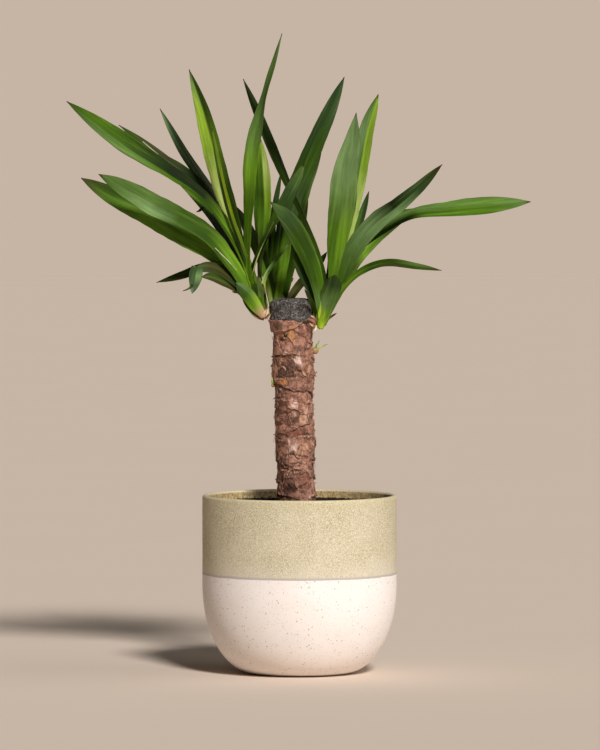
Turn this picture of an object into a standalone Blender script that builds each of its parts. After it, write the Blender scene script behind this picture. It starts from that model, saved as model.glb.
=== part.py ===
"""Potted yucca: a stoneware pot of soil, a thick trunk with a sealed cut top, and three shoots of leaves.

The origin is the centre of the pot's base, on z = 0. +X is the plant's right and -Y its front.
Sizes are in metres through MM, and the leaf tables are in plain millimetres.
"""

import math

import bmesh
import bpy
import numpy as np
from mathutils import Matrix, Vector

MM = 0.001
GAP = 0.3 * MM

# Pot
BASE_RADIUS = 45 * MM
POT_RADIUS = 95 * MM
BOWL_HEIGHT = 85 * MM
POT_HEIGHT = 174 * MM
POT_WALL = 5 * MM
POT_FLOOR = 7 * MM
LIP_ROUND = 2.2 * MM
POT_SIDES = 56

# Soil
SOIL_TOP = 164.5 * MM
SOIL_MOUND = 1.2 * MM

# Trunk
TRUNK_FOOT = 40 * MM
FOOT_RADIUS = 18.2 * MM
TRUNK_X = -2.4 * MM
TRUNK_LEAN = -0.0277
TRUNK_RADIUS = 18.4 * MM
TRUNK_TAPER = 1.6 * MM
TRUNK_FLARE = 1.2 * MM
TRUNK_SIDES = 30
TRUNK_STEP = 4.6 * MM
BARK_RINGS = [188, 199, 211, 224, 237, 251, 266, 281, 293, 305, 314, 323, 334]
RING_DEPTH = 0.9 * MM
RING_WIDTH = 2.6
BARK_FADE = 6 * MM

# Sealing wax over the cut
WAX_BOTTOM = 344.5 * MM
WAX_TOP = 366 * MM
WAX_COAT = 1.5 * MM
WAX_RADIUS = 22.9 * MM
WAX_ROUND = 6.5 * MM
STUB_BEVEL = 4 * MM
ROOM_BOTTOM = 300

# Leaves
BLADE_THICKNESS = 1.1 * MM
ROOT_THICKNESS = 2.4 * MM
TIP_WIDTH = 1.0 * MM
TIP_SHARPNESS = 12
STATION_SPACING = 17 * MM
BACK = np.array([0.0, 1.0, 0.0])

# Each leaf: its route from root to tip, its widths and its turns at even steps along it, and its fold.
# A turn is in degrees about the route, from facing the front. The fold tilts each half of the blade, in
# degrees, and is positive where the blade is hollow to the front. Every width then narrows to the tip.
LEFT_LEAVES = {
    "long_left": (
        [(-37, -2, 355), (-52, -7, 402), (-68, -12, 433), (-92, -21, 465), (-124, -34, 489),
         (-166, -50, 516), (-200, -64, 540), (-224, -76, 558)],
        (13, 16, 17, 23, 15), (-50, -55, -62, -44, -40), 24),
    "behind_long": (
        [(-37, 3, 357), (-58, 8, 413), (-76, 12, 454), (-101, 16, 480), (-129, 20, 499), (-156, 25, 520),
         (-177, 28, 535)],
        (11, 15, 16, 15, 10), (-45,), 15),
    "blue_upper": (
        [(-39, 4, 359), (-55, 10, 407), (-73, 16, 449), (-94, 24, 480), (-115, 32, 511), (-137, 42, 551)],
        (8, 11, 12, 12, 9), (-40,), 12),
    "broad_front": (
        [(-38, -4, 354), (-53, -13, 380), (-69, -23, 406), (-87, -34, 428), (-112, -45, 444),
         (-140, -58, 458), (-166, -72, 473), (-193, -86, 488)],
        (11, 16, 19, 22, 18), (-45, -35, -30, -28), 12),
    "broad_under": (
        [(-39, -3, 354), (-58, -9, 388), (-84, -16, 411), (-116, -25, 430), (-148, -34, 449),
         (-180, -43, 466), (-211, -54, 484)],
        (11, 18, 22, 22, 18), (-45, -30, -28), 12),
    "short_under": (
        [(-38, 0, 358), (-52, 0, 398), (-70, 1, 428), (-87, 1, 451), (-107, 0, 472), (-124, -4, 485)],
        (10, 15, 17, 15, 10), (-40,), 12),
    "droop_back": (
        [(-37, -3, 350), (-53, -2, 374), (-69, 2, 391), (-89, 7, 399), (-114, 12, 390), (-140, 16, 381)],
        (10, 12, 13, 12, 7), (-52,), 10),
    "folded_over": (
        [(-38, -6, 350), (-53, -13, 374), (-68, -20, 388), (-82, -27, 397), (-94, -34, 397),
         (-99, -38, 393), (-102, -40, 383), (-104, -43, 372)],
        (9, 12, 12, 11, 10, 8, 7, 4), (-50, -50, -50, -40, -20), 8),
    "low_left": (
        [(-37, -4, 348), (-53, -12, 368), (-66, -20, 376), (-80, -29, 385), (-98, -43, 387)],
        (8, 9, 10, 12, 8), (-50, -50, -55), 10),
    "bright_tall": (
        [(-39, -1, 358), (-53, -5, 400), (-63, -8, 435), (-75, -11, 474), (-85, -15, 511),
         (-94, -22, 548), (-107, -29, 589)],
        (9, 11, 20, 18, 11), (45, 30, 22, 20), 20),
    "rolled_spear": (
        [(-40, -4, 364), (-55, -11, 413), (-68, -18, 451), (-78, -27, 493), (-85, -36, 532)],
        (6, 6, 5, 4), (35,), 30),
    "tallest": (
        [(-43, -4, 358), (-51, -9, 394), (-51, -11, 428), (-49, -12, 466), (-47, -14, 506),
         (-40, -15, 542), (-32, -14, 573), (-25, -14, 596), (-17, -11, 624)],
        (9, 12, 13, 15, 15, 14, 13, 10, 7), (50, 55, 56, 50, 30, 20, 66, 55, 50), 10),
    "pale_upright": (
        [(-37, 2, 359), (-39, 4, 398), (-36, 5, 425), (-35, 5, 452), (-36, 4, 486), (-38, 2, 522)],
        (6, 5, 14, 17, 12), (35, 25, 22), 14),
    "crossing_right": (
        [(-41, -2, 362), (-46, -6, 392), (-37, -9, 417), (-25, -13, 441), (-12, -18, 464), (5, -23, 498)],
        (8, 10, 12, 16, 12), (60, 55, 40, 25, 20), 14),
    "thin_right": (
        [(-33, -3, 358), (-35, -5, 382), (-25, -3, 401), (-9, 1, 421)],
        (5, 4.5, 3.5), (30,), 10),
    "small_front": (
        [(-37, -8, 359), (-38, -18, 373), (-40, -29, 390)],
        (6, 7, 5), (40,), 12),
    "small_inner": (
        [(-35, -7, 359), (-35, -14, 369), (-36, -22, 381)],
        (5, 6, 4), (30,), 12),
    "far_upright": (
        [(-43, 4, 359), (-58, 40, 407), (-73, 80, 449), (-87, 120, 500)],
        (10, 17, 18, 14), (30, 25, 20), -14),
    "far_low": (
        [(-41, 4, 353), (-62, 40, 391), (-93, 80, 421), (-134, 110, 448)],
        (10, 17, 18, 14), (30, 25, 20), -14),
    "far_long": (
        [(-39, 4, 357), (-66, 45, 424), (-103, 90, 475), (-149, 125, 510)],
        (10, 17, 18, 14), (30, 25, 20), -14),
}
RIGHT_LEAVES = {
    "edge_lined": (
        [(22, -3, 343), (25, -3, 374), (18, 0, 408), (4, 4, 444), (-10, 8, 474), (-24, 11, 506),
         (-40, 14, 545), (-55, 16, 580)],
        (10, 12, 12, 12, 12, 12, 9), (40, 30, 62, 60, 38, 30), 12),
    "front_left": (
        [(19, -6, 341), (20, -14, 365), (13, -24, 396), (1, -34, 424), (-12, -44, 445), (-28, -54, 461)],
        (10, 14, 19, 19, 12), (-50, -30, -22), -10),
    "under_front_left": (
        [(18, -4, 341), (17, -10, 363), (9, -15, 380), (0, -21, 398), (-8, -27, 419)],
        (8, 11, 12, 9), (-45, -40), -10),
    "broad_upright": (
        [(24, -4, 347), (31, -10, 376), (34, -15, 402), (38, -20, 435), (42, -25, 462), (45, -28, 491),
         (51, -32, 518), (55, -36, 547)],
        (10, 10, 22, 27, 22, 12), (40, 20, 12, 12), 10),
    "yellow_upright": (
        [(25, 1, 351), (36, 3, 388), (45, 6, 423), (52, 8, 457), (59, 10, 496), (66, 12, 532),
         (77, 15, 565)],
        (9, 13, 17, 19, 16), (40, 30, 28), 12),
    "short_blue": (
        [(25, 3, 351), (40, 11, 388), (51, 18, 420), (60, 23, 444), (68, 28, 470)],
        (7, 10, 10, 8), (35,), 10),
    "grey_right": (
        [(25, -3, 349), (38, -9, 382), (51, -15, 412), (70, -22, 437), (94, -31, 456), (116, -38, 475),
         (138, -47, 497)],
        (10, 19, 21, 15, 11), (45, 35, 30), 14),
    "long_right": (
        [(25, -1, 347), (38, 0, 382), (54, 2, 407), (79, 4, 430), (110, 7, 448), (147, 10, 453),
         (186, 12, 457), (226, 14, 460)],
        (10, 14, 15, 14, 18, 22, 18), (45, 42, 38, 32, 25), 12),
    "thin_arc": (
        [(24, -4, 341), (35, -10, 364), (46, -18, 381), (63, -28, 395), (86, -41, 402), (112, -55, 399),
         (137, -68, 395)],
        (8, 12, 13, 12, 8), (58, 68, 70), 12),
    "toward_viewer": (
        [(20, -6, 343), (26, -12, 363), (31, -24, 378), (32, -42, 384), (33, -64, 382)],
        (9, 15, 18, 15, 8), (20, 8), 34),
    "dry_spike": (
        [(17, -6, 344), (13, -20, 360), (9, -31, 369), (5, -41, 376)],
        (5, 5.5, 5, 3), (40,), 8),
    "low_spike": (
        [(20, -4, 339), (29, -10, 347), (36, -16, 352)],
        (4, 3, 2), (40,), 8),
    "far_upright": (
        [(25, 4, 353), (36, 40, 398), (44, 80, 449), (52, 115, 502)],
        (10, 18, 19, 14), (20,), -14),
    "far_right": (
        [(25, 4, 349), (50, 40, 398), (80, 75, 431), (114, 105, 452)],
        (10, 17, 18, 14), (-25,), -14),
}
BACK_LEAVES = {
    "tall_right": (
        [(-23, 25, 360), (-19, 28, 395), (-15, 31, 426), (-8, 33, 459), (3, 35, 487), (17, 37, 520),
         (31, 39, 552), (44, 40, 582)],
        (12, 21, 21, 19, 13), (40, 28, 25), -14),
    "olive_right": (
        [(-18, 29, 360), (-12, 36, 395), (-6, 42, 430), (1, 47, 463), (11, 51, 489), (22, 54, 513)],
        (10, 15, 16, 16, 12), (35, 28), 12),
    "short_dark": (
        [(-17, 30, 360), (-9, 42, 393), (-1, 52, 424), (4, 59, 449), (8, 64, 466)],
        (8, 10, 11, 9), (35,), 10),
    "narrow_left": (
        [(-24, 28, 360), (-27, 36, 401), (-26, 42, 442), (-18, 48, 489)],
        (7, 8, 8, 6), (35,), 10),
    "dark_left": (
        [(-25, 26, 358), (-29, 27, 378), (-37, 30, 405), (-49, 34, 430), (-62, 38, 455)],
        (8, 11, 13, 13, 9), (30,), 10),
    "brown_right": (
        [(-16, 27, 354), (-8, 33, 367), (3, 40, 382), (16, 48, 395), (27, 54, 410)],
        (8, 11, 12, 9), (45,), 12),
    "far_upright": (
        [(-19, 32, 359), (-15, 66, 400), (-2, 104, 455), (18, 140, 514)],
        (10, 18, 19, 14), (20,), -14),
    "far_left": (
        [(-25, 32, 359), (-31, 66, 400), (-37, 104, 445), (-38, 138, 495)],
        (10, 17, 18, 14), (20,), -14),
    "far_droop": (
        [(-20, 32, 357), (-17, 70, 374), (-15, 112, 381), (-17, 150, 368)],
        (10, 17, 18, 14), (20,), -14),
}
# Each shoot: the middle and half sizes of its leafy heart, the end of its neck at the trunk, and its leaves.
SHOOTS = {
    "left_shoot": ((-38.5, 0, 356), (7, 9, 11), (-27, 0, 350), LEFT_LEAVES),
    "right_shoot": ((21, -3, 347), (6, 8, 12), (14, -1, 342), RIGHT_LEAVES),
    "back_shoot": ((-20, 28, 357), (7.5, 9, 12), (-15, 19, 348), BACK_LEAVES),
}
NECK_RADIUS = 5
PEG_RADIUS = 4
PEG_DEPTH = 7
PEG_OUT = 4
SOCKET_OUT = 8
SOCKET_CLEAR = 0.42
# Each bud: its root on the bark, the way it points, and the tips of its small blades.
BUDS = {
    "right_bud": ((14.2, -3, 314), [(27, -6, 321), (19, -4, 325), (17, -8, 322)]),
    "left_bud": ((-24.5, -4, 282), [(-29, -6, 291), (-30, -3, 286)]),
    "front_bud": ((-14, -19, 328), [(-15, -24, 334), (-11, -23, 334)]),
}
BUD_RADIUS = 2.2
BUD_PEG = 1.4
BUD_DEPTH = 3


def principled(name, colour, roughness):
    """A plain material of one colour and roughness."""
    material = bpy.data.materials.new(name)
    material.use_nodes = True
    shader = material.node_tree.nodes["Principled BSDF"]
    shader.inputs["Base Color"].default_value = (*colour, 1)
    shader.inputs["Roughness"].default_value = roughness
    shader.inputs["Metallic"].default_value = 0
    return material


def add_object(name, points, faces, material=None, smooth=True):
    """A mesh object from points in metres, with its faces turned to point out."""
    mesh = bpy.data.meshes.new(name)
    mesh.from_pydata([tuple(map(float, p)) for p in points], [], faces)
    shape = bmesh.new()
    shape.from_mesh(mesh)
    bmesh.ops.recalc_face_normals(shape, faces=shape.faces)
    shape.to_mesh(mesh)
    shape.free()
    if smooth:
        mesh.shade_smooth()
        mesh.set_sharp_from_angle(angle=math.radians(40))
    if material:
        mesh.materials.append(material)
    obj = bpy.data.objects.new(name, mesh)
    bpy.context.scene.collection.objects.link(obj)
    return obj


def turned(name, rings, sides, material, relief=None):
    """A solid of stacked rings, each (centre x, radius, z), closed by a point where the radius is zero.

    relief(angle, z) is added to the radius of each ring point.
    """
    points, rows = [], []
    for x, radius, z in rings:
        row = []
        for k in range(sides if radius > 0 else 1):
            angle = 2 * math.pi * k / sides
            reach = radius + (relief(angle, z) if relief and radius > 0 else 0)
            row.append(len(points))
            points.append((x + reach * math.cos(angle), reach * math.sin(angle), z))
        rows.append(row)
    faces = []
    for low, high in zip(rows, rows[1:]):
        for k in range(sides):
            beside = k + 1
            below = [low[k % len(low)], low[beside % len(low)]]
            above = [high[beside % len(high)], high[k % len(high)]]
            faces.append(list(dict.fromkeys(below + above)))
    return add_object(name, points, faces, material)


def pot_rings():
    """From the middle of the base up the outside, over the rounded lip and down the inside to its floor."""
    turns = [math.radians(a) for a in (0, 12, 24, 36, 48, 60, 72, 82, 90)]
    reach = POT_RADIUS - BASE_RADIUS
    outside = [(BASE_RADIUS + reach * math.sin(a), BOWL_HEIGHT * (1 - math.cos(a))) for a in turns]
    shoulder = POT_HEIGHT - LIP_ROUND
    lip_middle = POT_RADIUS - POT_WALL / 2
    lip = [(lip_middle + POT_WALL / 2 * math.cos(a), shoulder + LIP_ROUND * math.sin(a))
           for a in (math.radians(d) for d in (0, 35, 65, 90, 115, 145, 180))]
    inside = [(BASE_RADIUS + (reach - POT_WALL) * math.sin(a),
               POT_FLOOR + (BOWL_HEIGHT - POT_FLOOR) * (1 - math.cos(a))) for a in reversed(turns[::2])]
    profile = [(0, 0)] + outside + lip + inside + [(0, POT_FLOOR)]
    return [(0, radius, z) for radius, z in profile]


def soil_rings():
    """From the middle of the bottom up the pot's inside, in over the top and down the hole for the trunk."""
    turns = [math.radians(a) for a in (0, 24, 48, 72, 90)]
    reach = POT_RADIUS - POT_WALL - BASE_RADIUS
    side = [(0, BASE_RADIUS - 2 * GAP + (reach - GAP) * math.sin(a),
             POT_FLOOR + 2 * GAP + (BOWL_HEIGHT - POT_FLOOR) * (1 - math.cos(a))) for a in turns]
    wall = POT_RADIUS - POT_WALL - 2 * GAP
    hole = FOOT_RADIUS + GAP
    top = [(0, wall, SOIL_TOP - SOIL_MOUND), (0, 0.8 * wall, SOIL_TOP), (TRUNK_X / 2, 0.5 * wall, SOIL_TOP),
           (TRUNK_X, hole + 6 * MM, SOIL_TOP - SOIL_MOUND), (TRUNK_X, hole, SOIL_TOP - SOIL_MOUND)]
    bottom = TRUNK_FOOT - GAP
    return [(0, 0, POT_FLOOR + 2 * GAP)] + side + top + [(TRUNK_X, hole, bottom), (TRUNK_X, 0, bottom)]


def trunk_x(z):
    """The trunk stands upright in the soil and leans left above it."""
    return TRUNK_X + TRUNK_LEAN * max(0.0, z - SOIL_TOP)


def bark_relief(angle, z):
    """Wandering grooves at the old leaf rings and low lumps between them, fading into the foot and top."""
    height = z / MM
    wander = 2.2 * math.sin(angle + 0.7) + 1.4 * math.sin(3 * angle + 0.05 * height)
    grooves = sum(math.exp(-(((height + wander - ring) / RING_WIDTH) ** 2)) for ring in BARK_RINGS)
    lumps = 0.45 * MM * math.sin(2 * angle + 0.09 * height) + 0.3 * MM * math.sin(5 * angle - 0.13 * height)
    above_soil = min(1.0, max(0.0, (z - SOIL_TOP) / BARK_FADE))
    below_wax = min(1.0, max(0.0, (WAX_BOTTOM - z) / BARK_FADE))
    return (lumps - RING_DEPTH * grooves) * min(above_soil, below_wax)


def trunk_rings():
    """The plain foot, the tapering bark-covered length, the flare below the wax and the stub inside it."""
    rings = [(TRUNK_X, 0, TRUNK_FOOT), (TRUNK_X, FOOT_RADIUS, TRUNK_FOOT), (TRUNK_X, FOOT_RADIUS, SOIL_TOP)]
    levels = np.arange(SOIL_TOP + 2 * MM, WAX_BOTTOM - 3 * MM, TRUNK_STEP)
    for z in levels:
        share = (z - SOIL_TOP) / (WAX_BOTTOM - SOIL_TOP)
        radius = TRUNK_RADIUS + TRUNK_TAPER * share + TRUNK_FLARE * share**12
        rings.append((trunk_x(z), radius, z))
    rings.append((trunk_x(WAX_BOTTOM), WAX_RADIUS - 2 * GAP, WAX_BOTTOM - 2 * GAP))
    stub = WAX_RADIUS - WAX_COAT - GAP
    top = WAX_TOP - WAX_COAT - GAP
    rings += [(trunk_x(WAX_BOTTOM), stub, WAX_BOTTOM - GAP), (trunk_x(WAX_TOP), stub, top - STUB_BEVEL)]
    rings += [(trunk_x(WAX_TOP), stub - STUB_BEVEL, top), (trunk_x(WAX_TOP), 0, top)]
    return rings


def wax_rings():
    """A cup upside down over the trunk's top, with a rounded shoulder."""
    low, high = trunk_x(WAX_BOTTOM), trunk_x(WAX_TOP)
    inner = WAX_RADIUS - WAX_COAT
    inside = [(high, 0, WAX_TOP - WAX_COAT), (high, inner - STUB_BEVEL, WAX_TOP - WAX_COAT),
              (high, inner, WAX_TOP - WAX_COAT - STUB_BEVEL), (low, inner, WAX_BOTTOM)]
    shoulder = [(high, WAX_RADIUS - WAX_ROUND * (1 - math.cos(a)), WAX_TOP - WAX_ROUND * (1 - math.sin(a)))
                for a in (math.radians(d) for d in (0, 30, 60, 90))]
    return inside + [(low, WAX_RADIUS, WAX_BOTTOM)] + shoulder + [(high, 0, WAX_TOP)]


def along(values, shares):
    """A smooth curve through evenly spaced values, read at shares of its length from 0 to 1."""
    values = np.asarray(values if len(values) > 1 else 2 * values, float)
    padded = np.concatenate([[2 * values[0] - values[1]], values, [2 * values[-1] - values[-2]]])
    place = np.clip(np.asarray(shares, float), 0, 1) * (len(values) - 1)
    span = np.minimum(place.astype(int), len(values) - 2)
    u = (place - span).reshape((-1,) + (1,) * (values.ndim - 1))
    a, b, c, d = (padded[span + k] for k in range(4))
    return 0.5 * (2 * b + (c - a) * u + (2 * a - 5 * b + 4 * c - d) * u**2 + (3 * b - a - 3 * c + d) * u**3)


def route(points, count):
    """Evenly spaced points along a smooth curve through the given ones."""
    fine = along(points, np.linspace(0, 1, 40 * len(points)))
    lengths = np.concatenate([[0], np.cumsum(np.linalg.norm(np.diff(fine, axis=0), axis=1))])
    spots = np.linspace(0, lengths[-1], count)
    return np.stack([np.interp(spots, lengths, fine[:, k]) for k in range(3)], axis=1)


def frames(middle, turns):
    """The side and front directions at each point: carried along the curve without twist, then turned."""
    ahead = np.gradient(middle, axis=0)
    ahead /= np.linalg.norm(ahead, axis=1)[:, None]
    side = np.cross(BACK, ahead[0])
    sides, fronts = [], []
    for direction, turn in zip(ahead, np.radians(turns)):
        side = side - direction * (side @ direction)
        side /= np.linalg.norm(side)
        front = np.cross(side, direction)
        turned_side = side * math.cos(turn) + front * math.sin(turn)
        sides.append(turned_side)
        fronts.append(np.cross(turned_side, direction))
    return np.array(sides), np.array(fronts)


def blade(name, points, widths, turns, fold):
    """A leaf as one closed solid: a folded blade of even thickness with a fleshy root and a pointed tip."""
    points = np.array(points) * MM
    length = np.linalg.norm(np.diff(points, axis=0), axis=1).sum()
    count = max(5, round(length / STATION_SPACING))
    shares = np.linspace(0, 1, count)
    middle = route(points, count)
    sides, fronts = frames(middle, along(turns, shares))
    halves = np.maximum(along(widths, shares) * (1 - shares**TIP_SHARPNESS) * MM, TIP_WIDTH) / 2
    drop = halves * math.tan(math.radians(fold))
    thickness = BLADE_THICKNESS + (ROOT_THICKNESS - BLADE_THICKNESS) * np.maximum(0, 1 - 5 * shares)
    reach = sides * halves[:, None]
    top = [middle - reach, middle - fronts * drop[:, None], middle + reach]
    offset = fronts * thickness[:, None] / 2
    layers = [column + offset for column in top] + [column - offset for column in top]
    corners = np.stack(layers, axis=1).reshape(-1, 3)
    faces = []
    for k in range(count - 1):
        near, far = 6 * k, 6 * k + 6
        for column in (0, 1):
            for layer in (0, 3):
                a, b = near + layer + column, near + layer + column + 1
                c, d = far + layer + column + 1, far + layer + column
                faces += [(a, b, c), (a, c, d)]
        for column in (0, 2):
            a, b, c, d = near + column, near + column + 3, far + column + 3, far + column
            faces += [(a, b, c), (a, c, d)]
    for end in (0, 6 * count - 6):
        faces += [(end, end + 1, end + 4, end + 3), (end + 1, end + 2, end + 5, end + 4)]
    return add_object(name, corners, faces)


def egg(name, centre, half_sizes, sides=12):
    """An ellipsoid, in millimetres."""
    shape = bmesh.new()
    place = Matrix.Translation(Vector(centre) * MM) @ Matrix.Diagonal((*[s * MM for s in half_sizes], 1))
    bmesh.ops.create_uvsphere(shape, u_segments=sides, v_segments=sides * 2 // 3, radius=1, matrix=place)
    return from_bmesh(name, shape)


def rod(name, start, end, radius, sides=12):
    """A round bar between two places, in millimetres."""
    start, end = Vector(start) * MM, Vector(end) * MM
    turn = (end - start).to_track_quat("Z", "Y").to_matrix().to_4x4()
    shape = bmesh.new()
    bmesh.ops.create_cone(shape, cap_ends=True, segments=sides, radius1=radius * MM, radius2=radius * MM,
                          depth=(end - start).length, matrix=Matrix.Translation((start + end) / 2) @ turn)
    return from_bmesh(name, shape)


def from_bmesh(name, shape):
    """Turns a bmesh into an object in the scene."""
    mesh = bpy.data.meshes.new(name)
    shape.to_mesh(mesh)
    shape.free()
    obj = bpy.data.objects.new(name, mesh)
    bpy.context.scene.collection.objects.link(obj)
    return obj


def combine(obj, operation, others):
    """Applies one Boolean of obj with a collection of the others, then removes them."""
    group = bpy.data.collections.new("combined")
    for other in others:
        group.objects.link(other)
    change = obj.modifiers.new("combine", "BOOLEAN")
    change.operation = operation
    change.solver = "EXACT"
    change.operand_type = "COLLECTION"
    change.collection = group
    bpy.context.view_layer.update()
    result = bpy.data.meshes.new_from_object(obj.evaluated_get(bpy.context.evaluated_depsgraph_get()))
    obj.modifiers.clear()
    obj.data = result
    for other in others:
        bpy.data.objects.remove(other)
    bpy.data.collections.remove(group)


def keep_skin(obj):
    """Keeps only the largest connected shell, without scraps and the faces of hollows that fusing sealed."""
    shape = bmesh.new()
    shape.from_mesh(obj.data)
    left, shells = set(shape.verts), []
    while left:
        waiting, shell = [left.pop()], []
        while waiting:
            vert = waiting.pop()
            shell.append(vert)
            near = {edge.other_vert(vert) for edge in vert.link_edges} & left
            left -= near
            waiting.extend(near)
        shells.append(shell)
    shells.sort(key=len)
    for shell in shells[:-1]:
        bmesh.ops.delete(shape, geom=shell, context="VERTS")
    shape.to_mesh(obj.data)
    shape.free()


def toward_axis(place, depth):
    """The point reached by going level from a place to the trunk's axis by depth, in millimetres."""
    x, y, z = place
    inward = Vector((trunk_x(z * MM) / MM - x, -y, 0)).normalized()
    return tuple(Vector(place) + inward * depth)


def add_shoot(name, heart, half_sizes, neck_end, leaves, material):
    """A shoot: leaves and a neck grown from one heart, clear of the trunk, with a peg that seats in it."""
    shoot = egg(name, heart, half_sizes)
    grown = [blade(leaf, *shape) for leaf, shape in leaves.items()]
    grown.append(rod("neck", heart, neck_end, NECK_RADIUS))
    combine(shoot, "UNION", grown)
    low, high = trunk_x(ROOM_BOTTOM * MM) / MM, trunk_x(WAX_TOP) / MM
    room = WAX_RADIUS / MM + 3 * GAP / MM
    combine(shoot, "DIFFERENCE", [rod("room", (low, 0, ROOM_BOTTOM), (high, 0, WAX_TOP / MM + 1), room, 48)])
    peg_ends = toward_axis(neck_end, -PEG_OUT), toward_axis(neck_end, PEG_DEPTH)
    combine(shoot, "UNION", [rod("peg", *peg_ends, PEG_RADIUS)])
    keep_skin(shoot)
    finish(shoot, material)


def add_bud(name, root, tips, material):
    """A small side bud: a knob and a few blades, with a peg that seats in the bark."""
    bud = egg(name, toward_axis(root, -BUD_RADIUS), (BUD_RADIUS, BUD_RADIUS, BUD_RADIUS), 8)
    middle = Vector(toward_axis(root, -BUD_RADIUS))
    for tip in tips:
        bend = middle.lerp(Vector(tip), 0.5) + Vector((0, -0.6, 0.6))
        grown = blade("bud_blade", [tuple(middle), tuple(bend), tip], (2.4, 2.2, 1.6, 0), (20, 20, 20), 8)
        combine(bud, "UNION", [grown])
    combine(bud, "UNION", [rod("peg", tuple(middle), toward_axis(root, BUD_DEPTH), BUD_PEG, 8)])
    keep_skin(bud)
    finish(bud, material)


def finish(obj, material):
    """Clears leftover materials, smooths the faces and gives the object its own material."""
    obj.data.materials.clear()
    obj.data.materials.append(material)
    obj.data.shade_smooth()
    obj.data.set_sharp_from_angle(angle=math.radians(40))


def shoot_sockets():
    """Cutters for the plain holes that the shoots' pegs stand in."""
    cutters = []
    for _, _, neck_end, _ in SHOOTS.values():
        start, end = toward_axis(neck_end, -SOCKET_OUT), toward_axis(neck_end, PEG_DEPTH + GAP / MM)
        cutters.append(rod("socket", start, end, PEG_RADIUS + SOCKET_CLEAR))
    return cutters


def bud_sockets():
    """Cutters for the round seats and small holes that the buds stand in."""
    cutters = []
    for root, _ in BUDS.values():
        start, end = toward_axis(root, -SOCKET_OUT), toward_axis(root, BUD_DEPTH + GAP / MM)
        cutters.append(rod("socket", start, end, BUD_PEG + SOCKET_CLEAR, 8))
        cutters.append(egg("seat", toward_axis(root, -BUD_RADIUS), [BUD_RADIUS + SOCKET_CLEAR] * 3, 8))
    return cutters


def add_socketed(name, rings, material, cutters, relief=None):
    """A turned piece with the given sockets cut in it."""
    piece = turned(name, rings, TRUNK_SIDES, material, relief)
    combine(piece, "DIFFERENCE", cutters)
    keep_skin(piece)
    finish(piece, material)


def main():
    for obj in list(bpy.data.objects):
        bpy.data.objects.remove(obj)
    turned("pot", pot_rings(), POT_SIDES, principled("stoneware", (0.72, 0.62, 0.45), 0.55))
    turned("soil", soil_rings(), POT_SIDES, principled("soil", (0.03, 0.02, 0.015), 0.95))
    add_socketed("wax_cap", wax_rings(), principled("wax", (0.06, 0.055, 0.055), 0.8), shoot_sockets())
    bark = principled("bark", (0.3, 0.17, 0.12), 0.85)
    add_socketed("trunk", trunk_rings(), bark, shoot_sockets() + bud_sockets(), bark_relief)
    leaf = principled("leaf", (0.05, 0.16, 0.03), 0.4)
    for name, (heart, half_sizes, neck_end, leaves) in SHOOTS.items():
        add_shoot(name, heart, half_sizes, neck_end, leaves, leaf)
    sprout = principled("sprout", (0.3, 0.45, 0.1), 0.5)
    for name, (root, tips) in BUDS.items():
        add_bud(name, root, tips, sprout)


main()
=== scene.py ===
"""Potted yucca: the finished look of every piece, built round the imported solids.

The front is -Y. Shapes are worked out in millimetres, and add_piece turns them into metres.
"""

import math

import bpy
import numpy as np
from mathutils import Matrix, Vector


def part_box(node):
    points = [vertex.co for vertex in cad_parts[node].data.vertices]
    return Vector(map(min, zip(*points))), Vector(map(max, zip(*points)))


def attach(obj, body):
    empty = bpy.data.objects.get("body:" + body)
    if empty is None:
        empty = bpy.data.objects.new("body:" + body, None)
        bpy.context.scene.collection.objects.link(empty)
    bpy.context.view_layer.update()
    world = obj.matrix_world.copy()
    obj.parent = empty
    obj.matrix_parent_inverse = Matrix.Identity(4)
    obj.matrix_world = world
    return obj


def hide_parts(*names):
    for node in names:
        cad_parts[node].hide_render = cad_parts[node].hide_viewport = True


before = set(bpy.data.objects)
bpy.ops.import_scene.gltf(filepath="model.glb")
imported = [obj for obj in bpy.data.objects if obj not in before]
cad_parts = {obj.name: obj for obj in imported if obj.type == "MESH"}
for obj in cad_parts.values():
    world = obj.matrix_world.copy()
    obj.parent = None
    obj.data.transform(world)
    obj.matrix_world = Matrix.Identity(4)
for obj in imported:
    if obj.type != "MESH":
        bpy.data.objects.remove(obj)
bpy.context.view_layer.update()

MM = 0.001


def box(node):
    """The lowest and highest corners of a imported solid, in millimetres."""
    return [np.array(corner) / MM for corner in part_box(node)]


# Pot and soil
POT_RADIUS = box("pot")[1][0]
POT_HEIGHT = box("pot")[1][2]
BASE_RADIUS = 45
BOWL_HEIGHT = 85
POT_WALL = 5
POT_FLOOR = 7
LIP_ROUND = 2.2
LIP_POINTS = 15
GLAZE_EDGE = 97
POT_COLUMNS = 240
OUTER_ROWS = 96
INNER_ROWS = 60
SOIL_TOP = box("soil")[1][2]
SOIL_DIP = 1.6
SOIL_GAP = 0.5
MOUND_HEIGHT = 0.9
GRAIN_HEIGHT = 0.9
SOIL_COLUMNS = 300
SIDE_ROWS = 12
CRUST_ROWS = 100
CRUMBS = 1100
CRUMB_SHAPE = (5, 7)

# Trunk and wax
TRUNK_FOOT = box("trunk")[0][2]
TRUNK_X = -2.4
TRUNK_LEAN = -0.0277
TRUNK_RADIUS = 18.2
TRUNK_TAPER = 1.6
TRUNK_FLARE = 1.2
BARK_RINGS = [196, 214, 233, 252, 268, 292, 307, 326]
BARK_PLATES = 76
# The radius at which the bark's pattern is made.
BARK_SPREAD = 20
SHEET_STEP = 0.5
SHEET_TILT = 0.09
TEAR_DEPTH = 1.1
TEAR_WIDTH = 1.3
RING_WIDTH = 0.9
LIP_HEIGHT = 0.7
FIBRE_HEIGHT = 0.24
TRUNK_ROWS = 336
TRUNK_COLUMNS = 284
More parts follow.
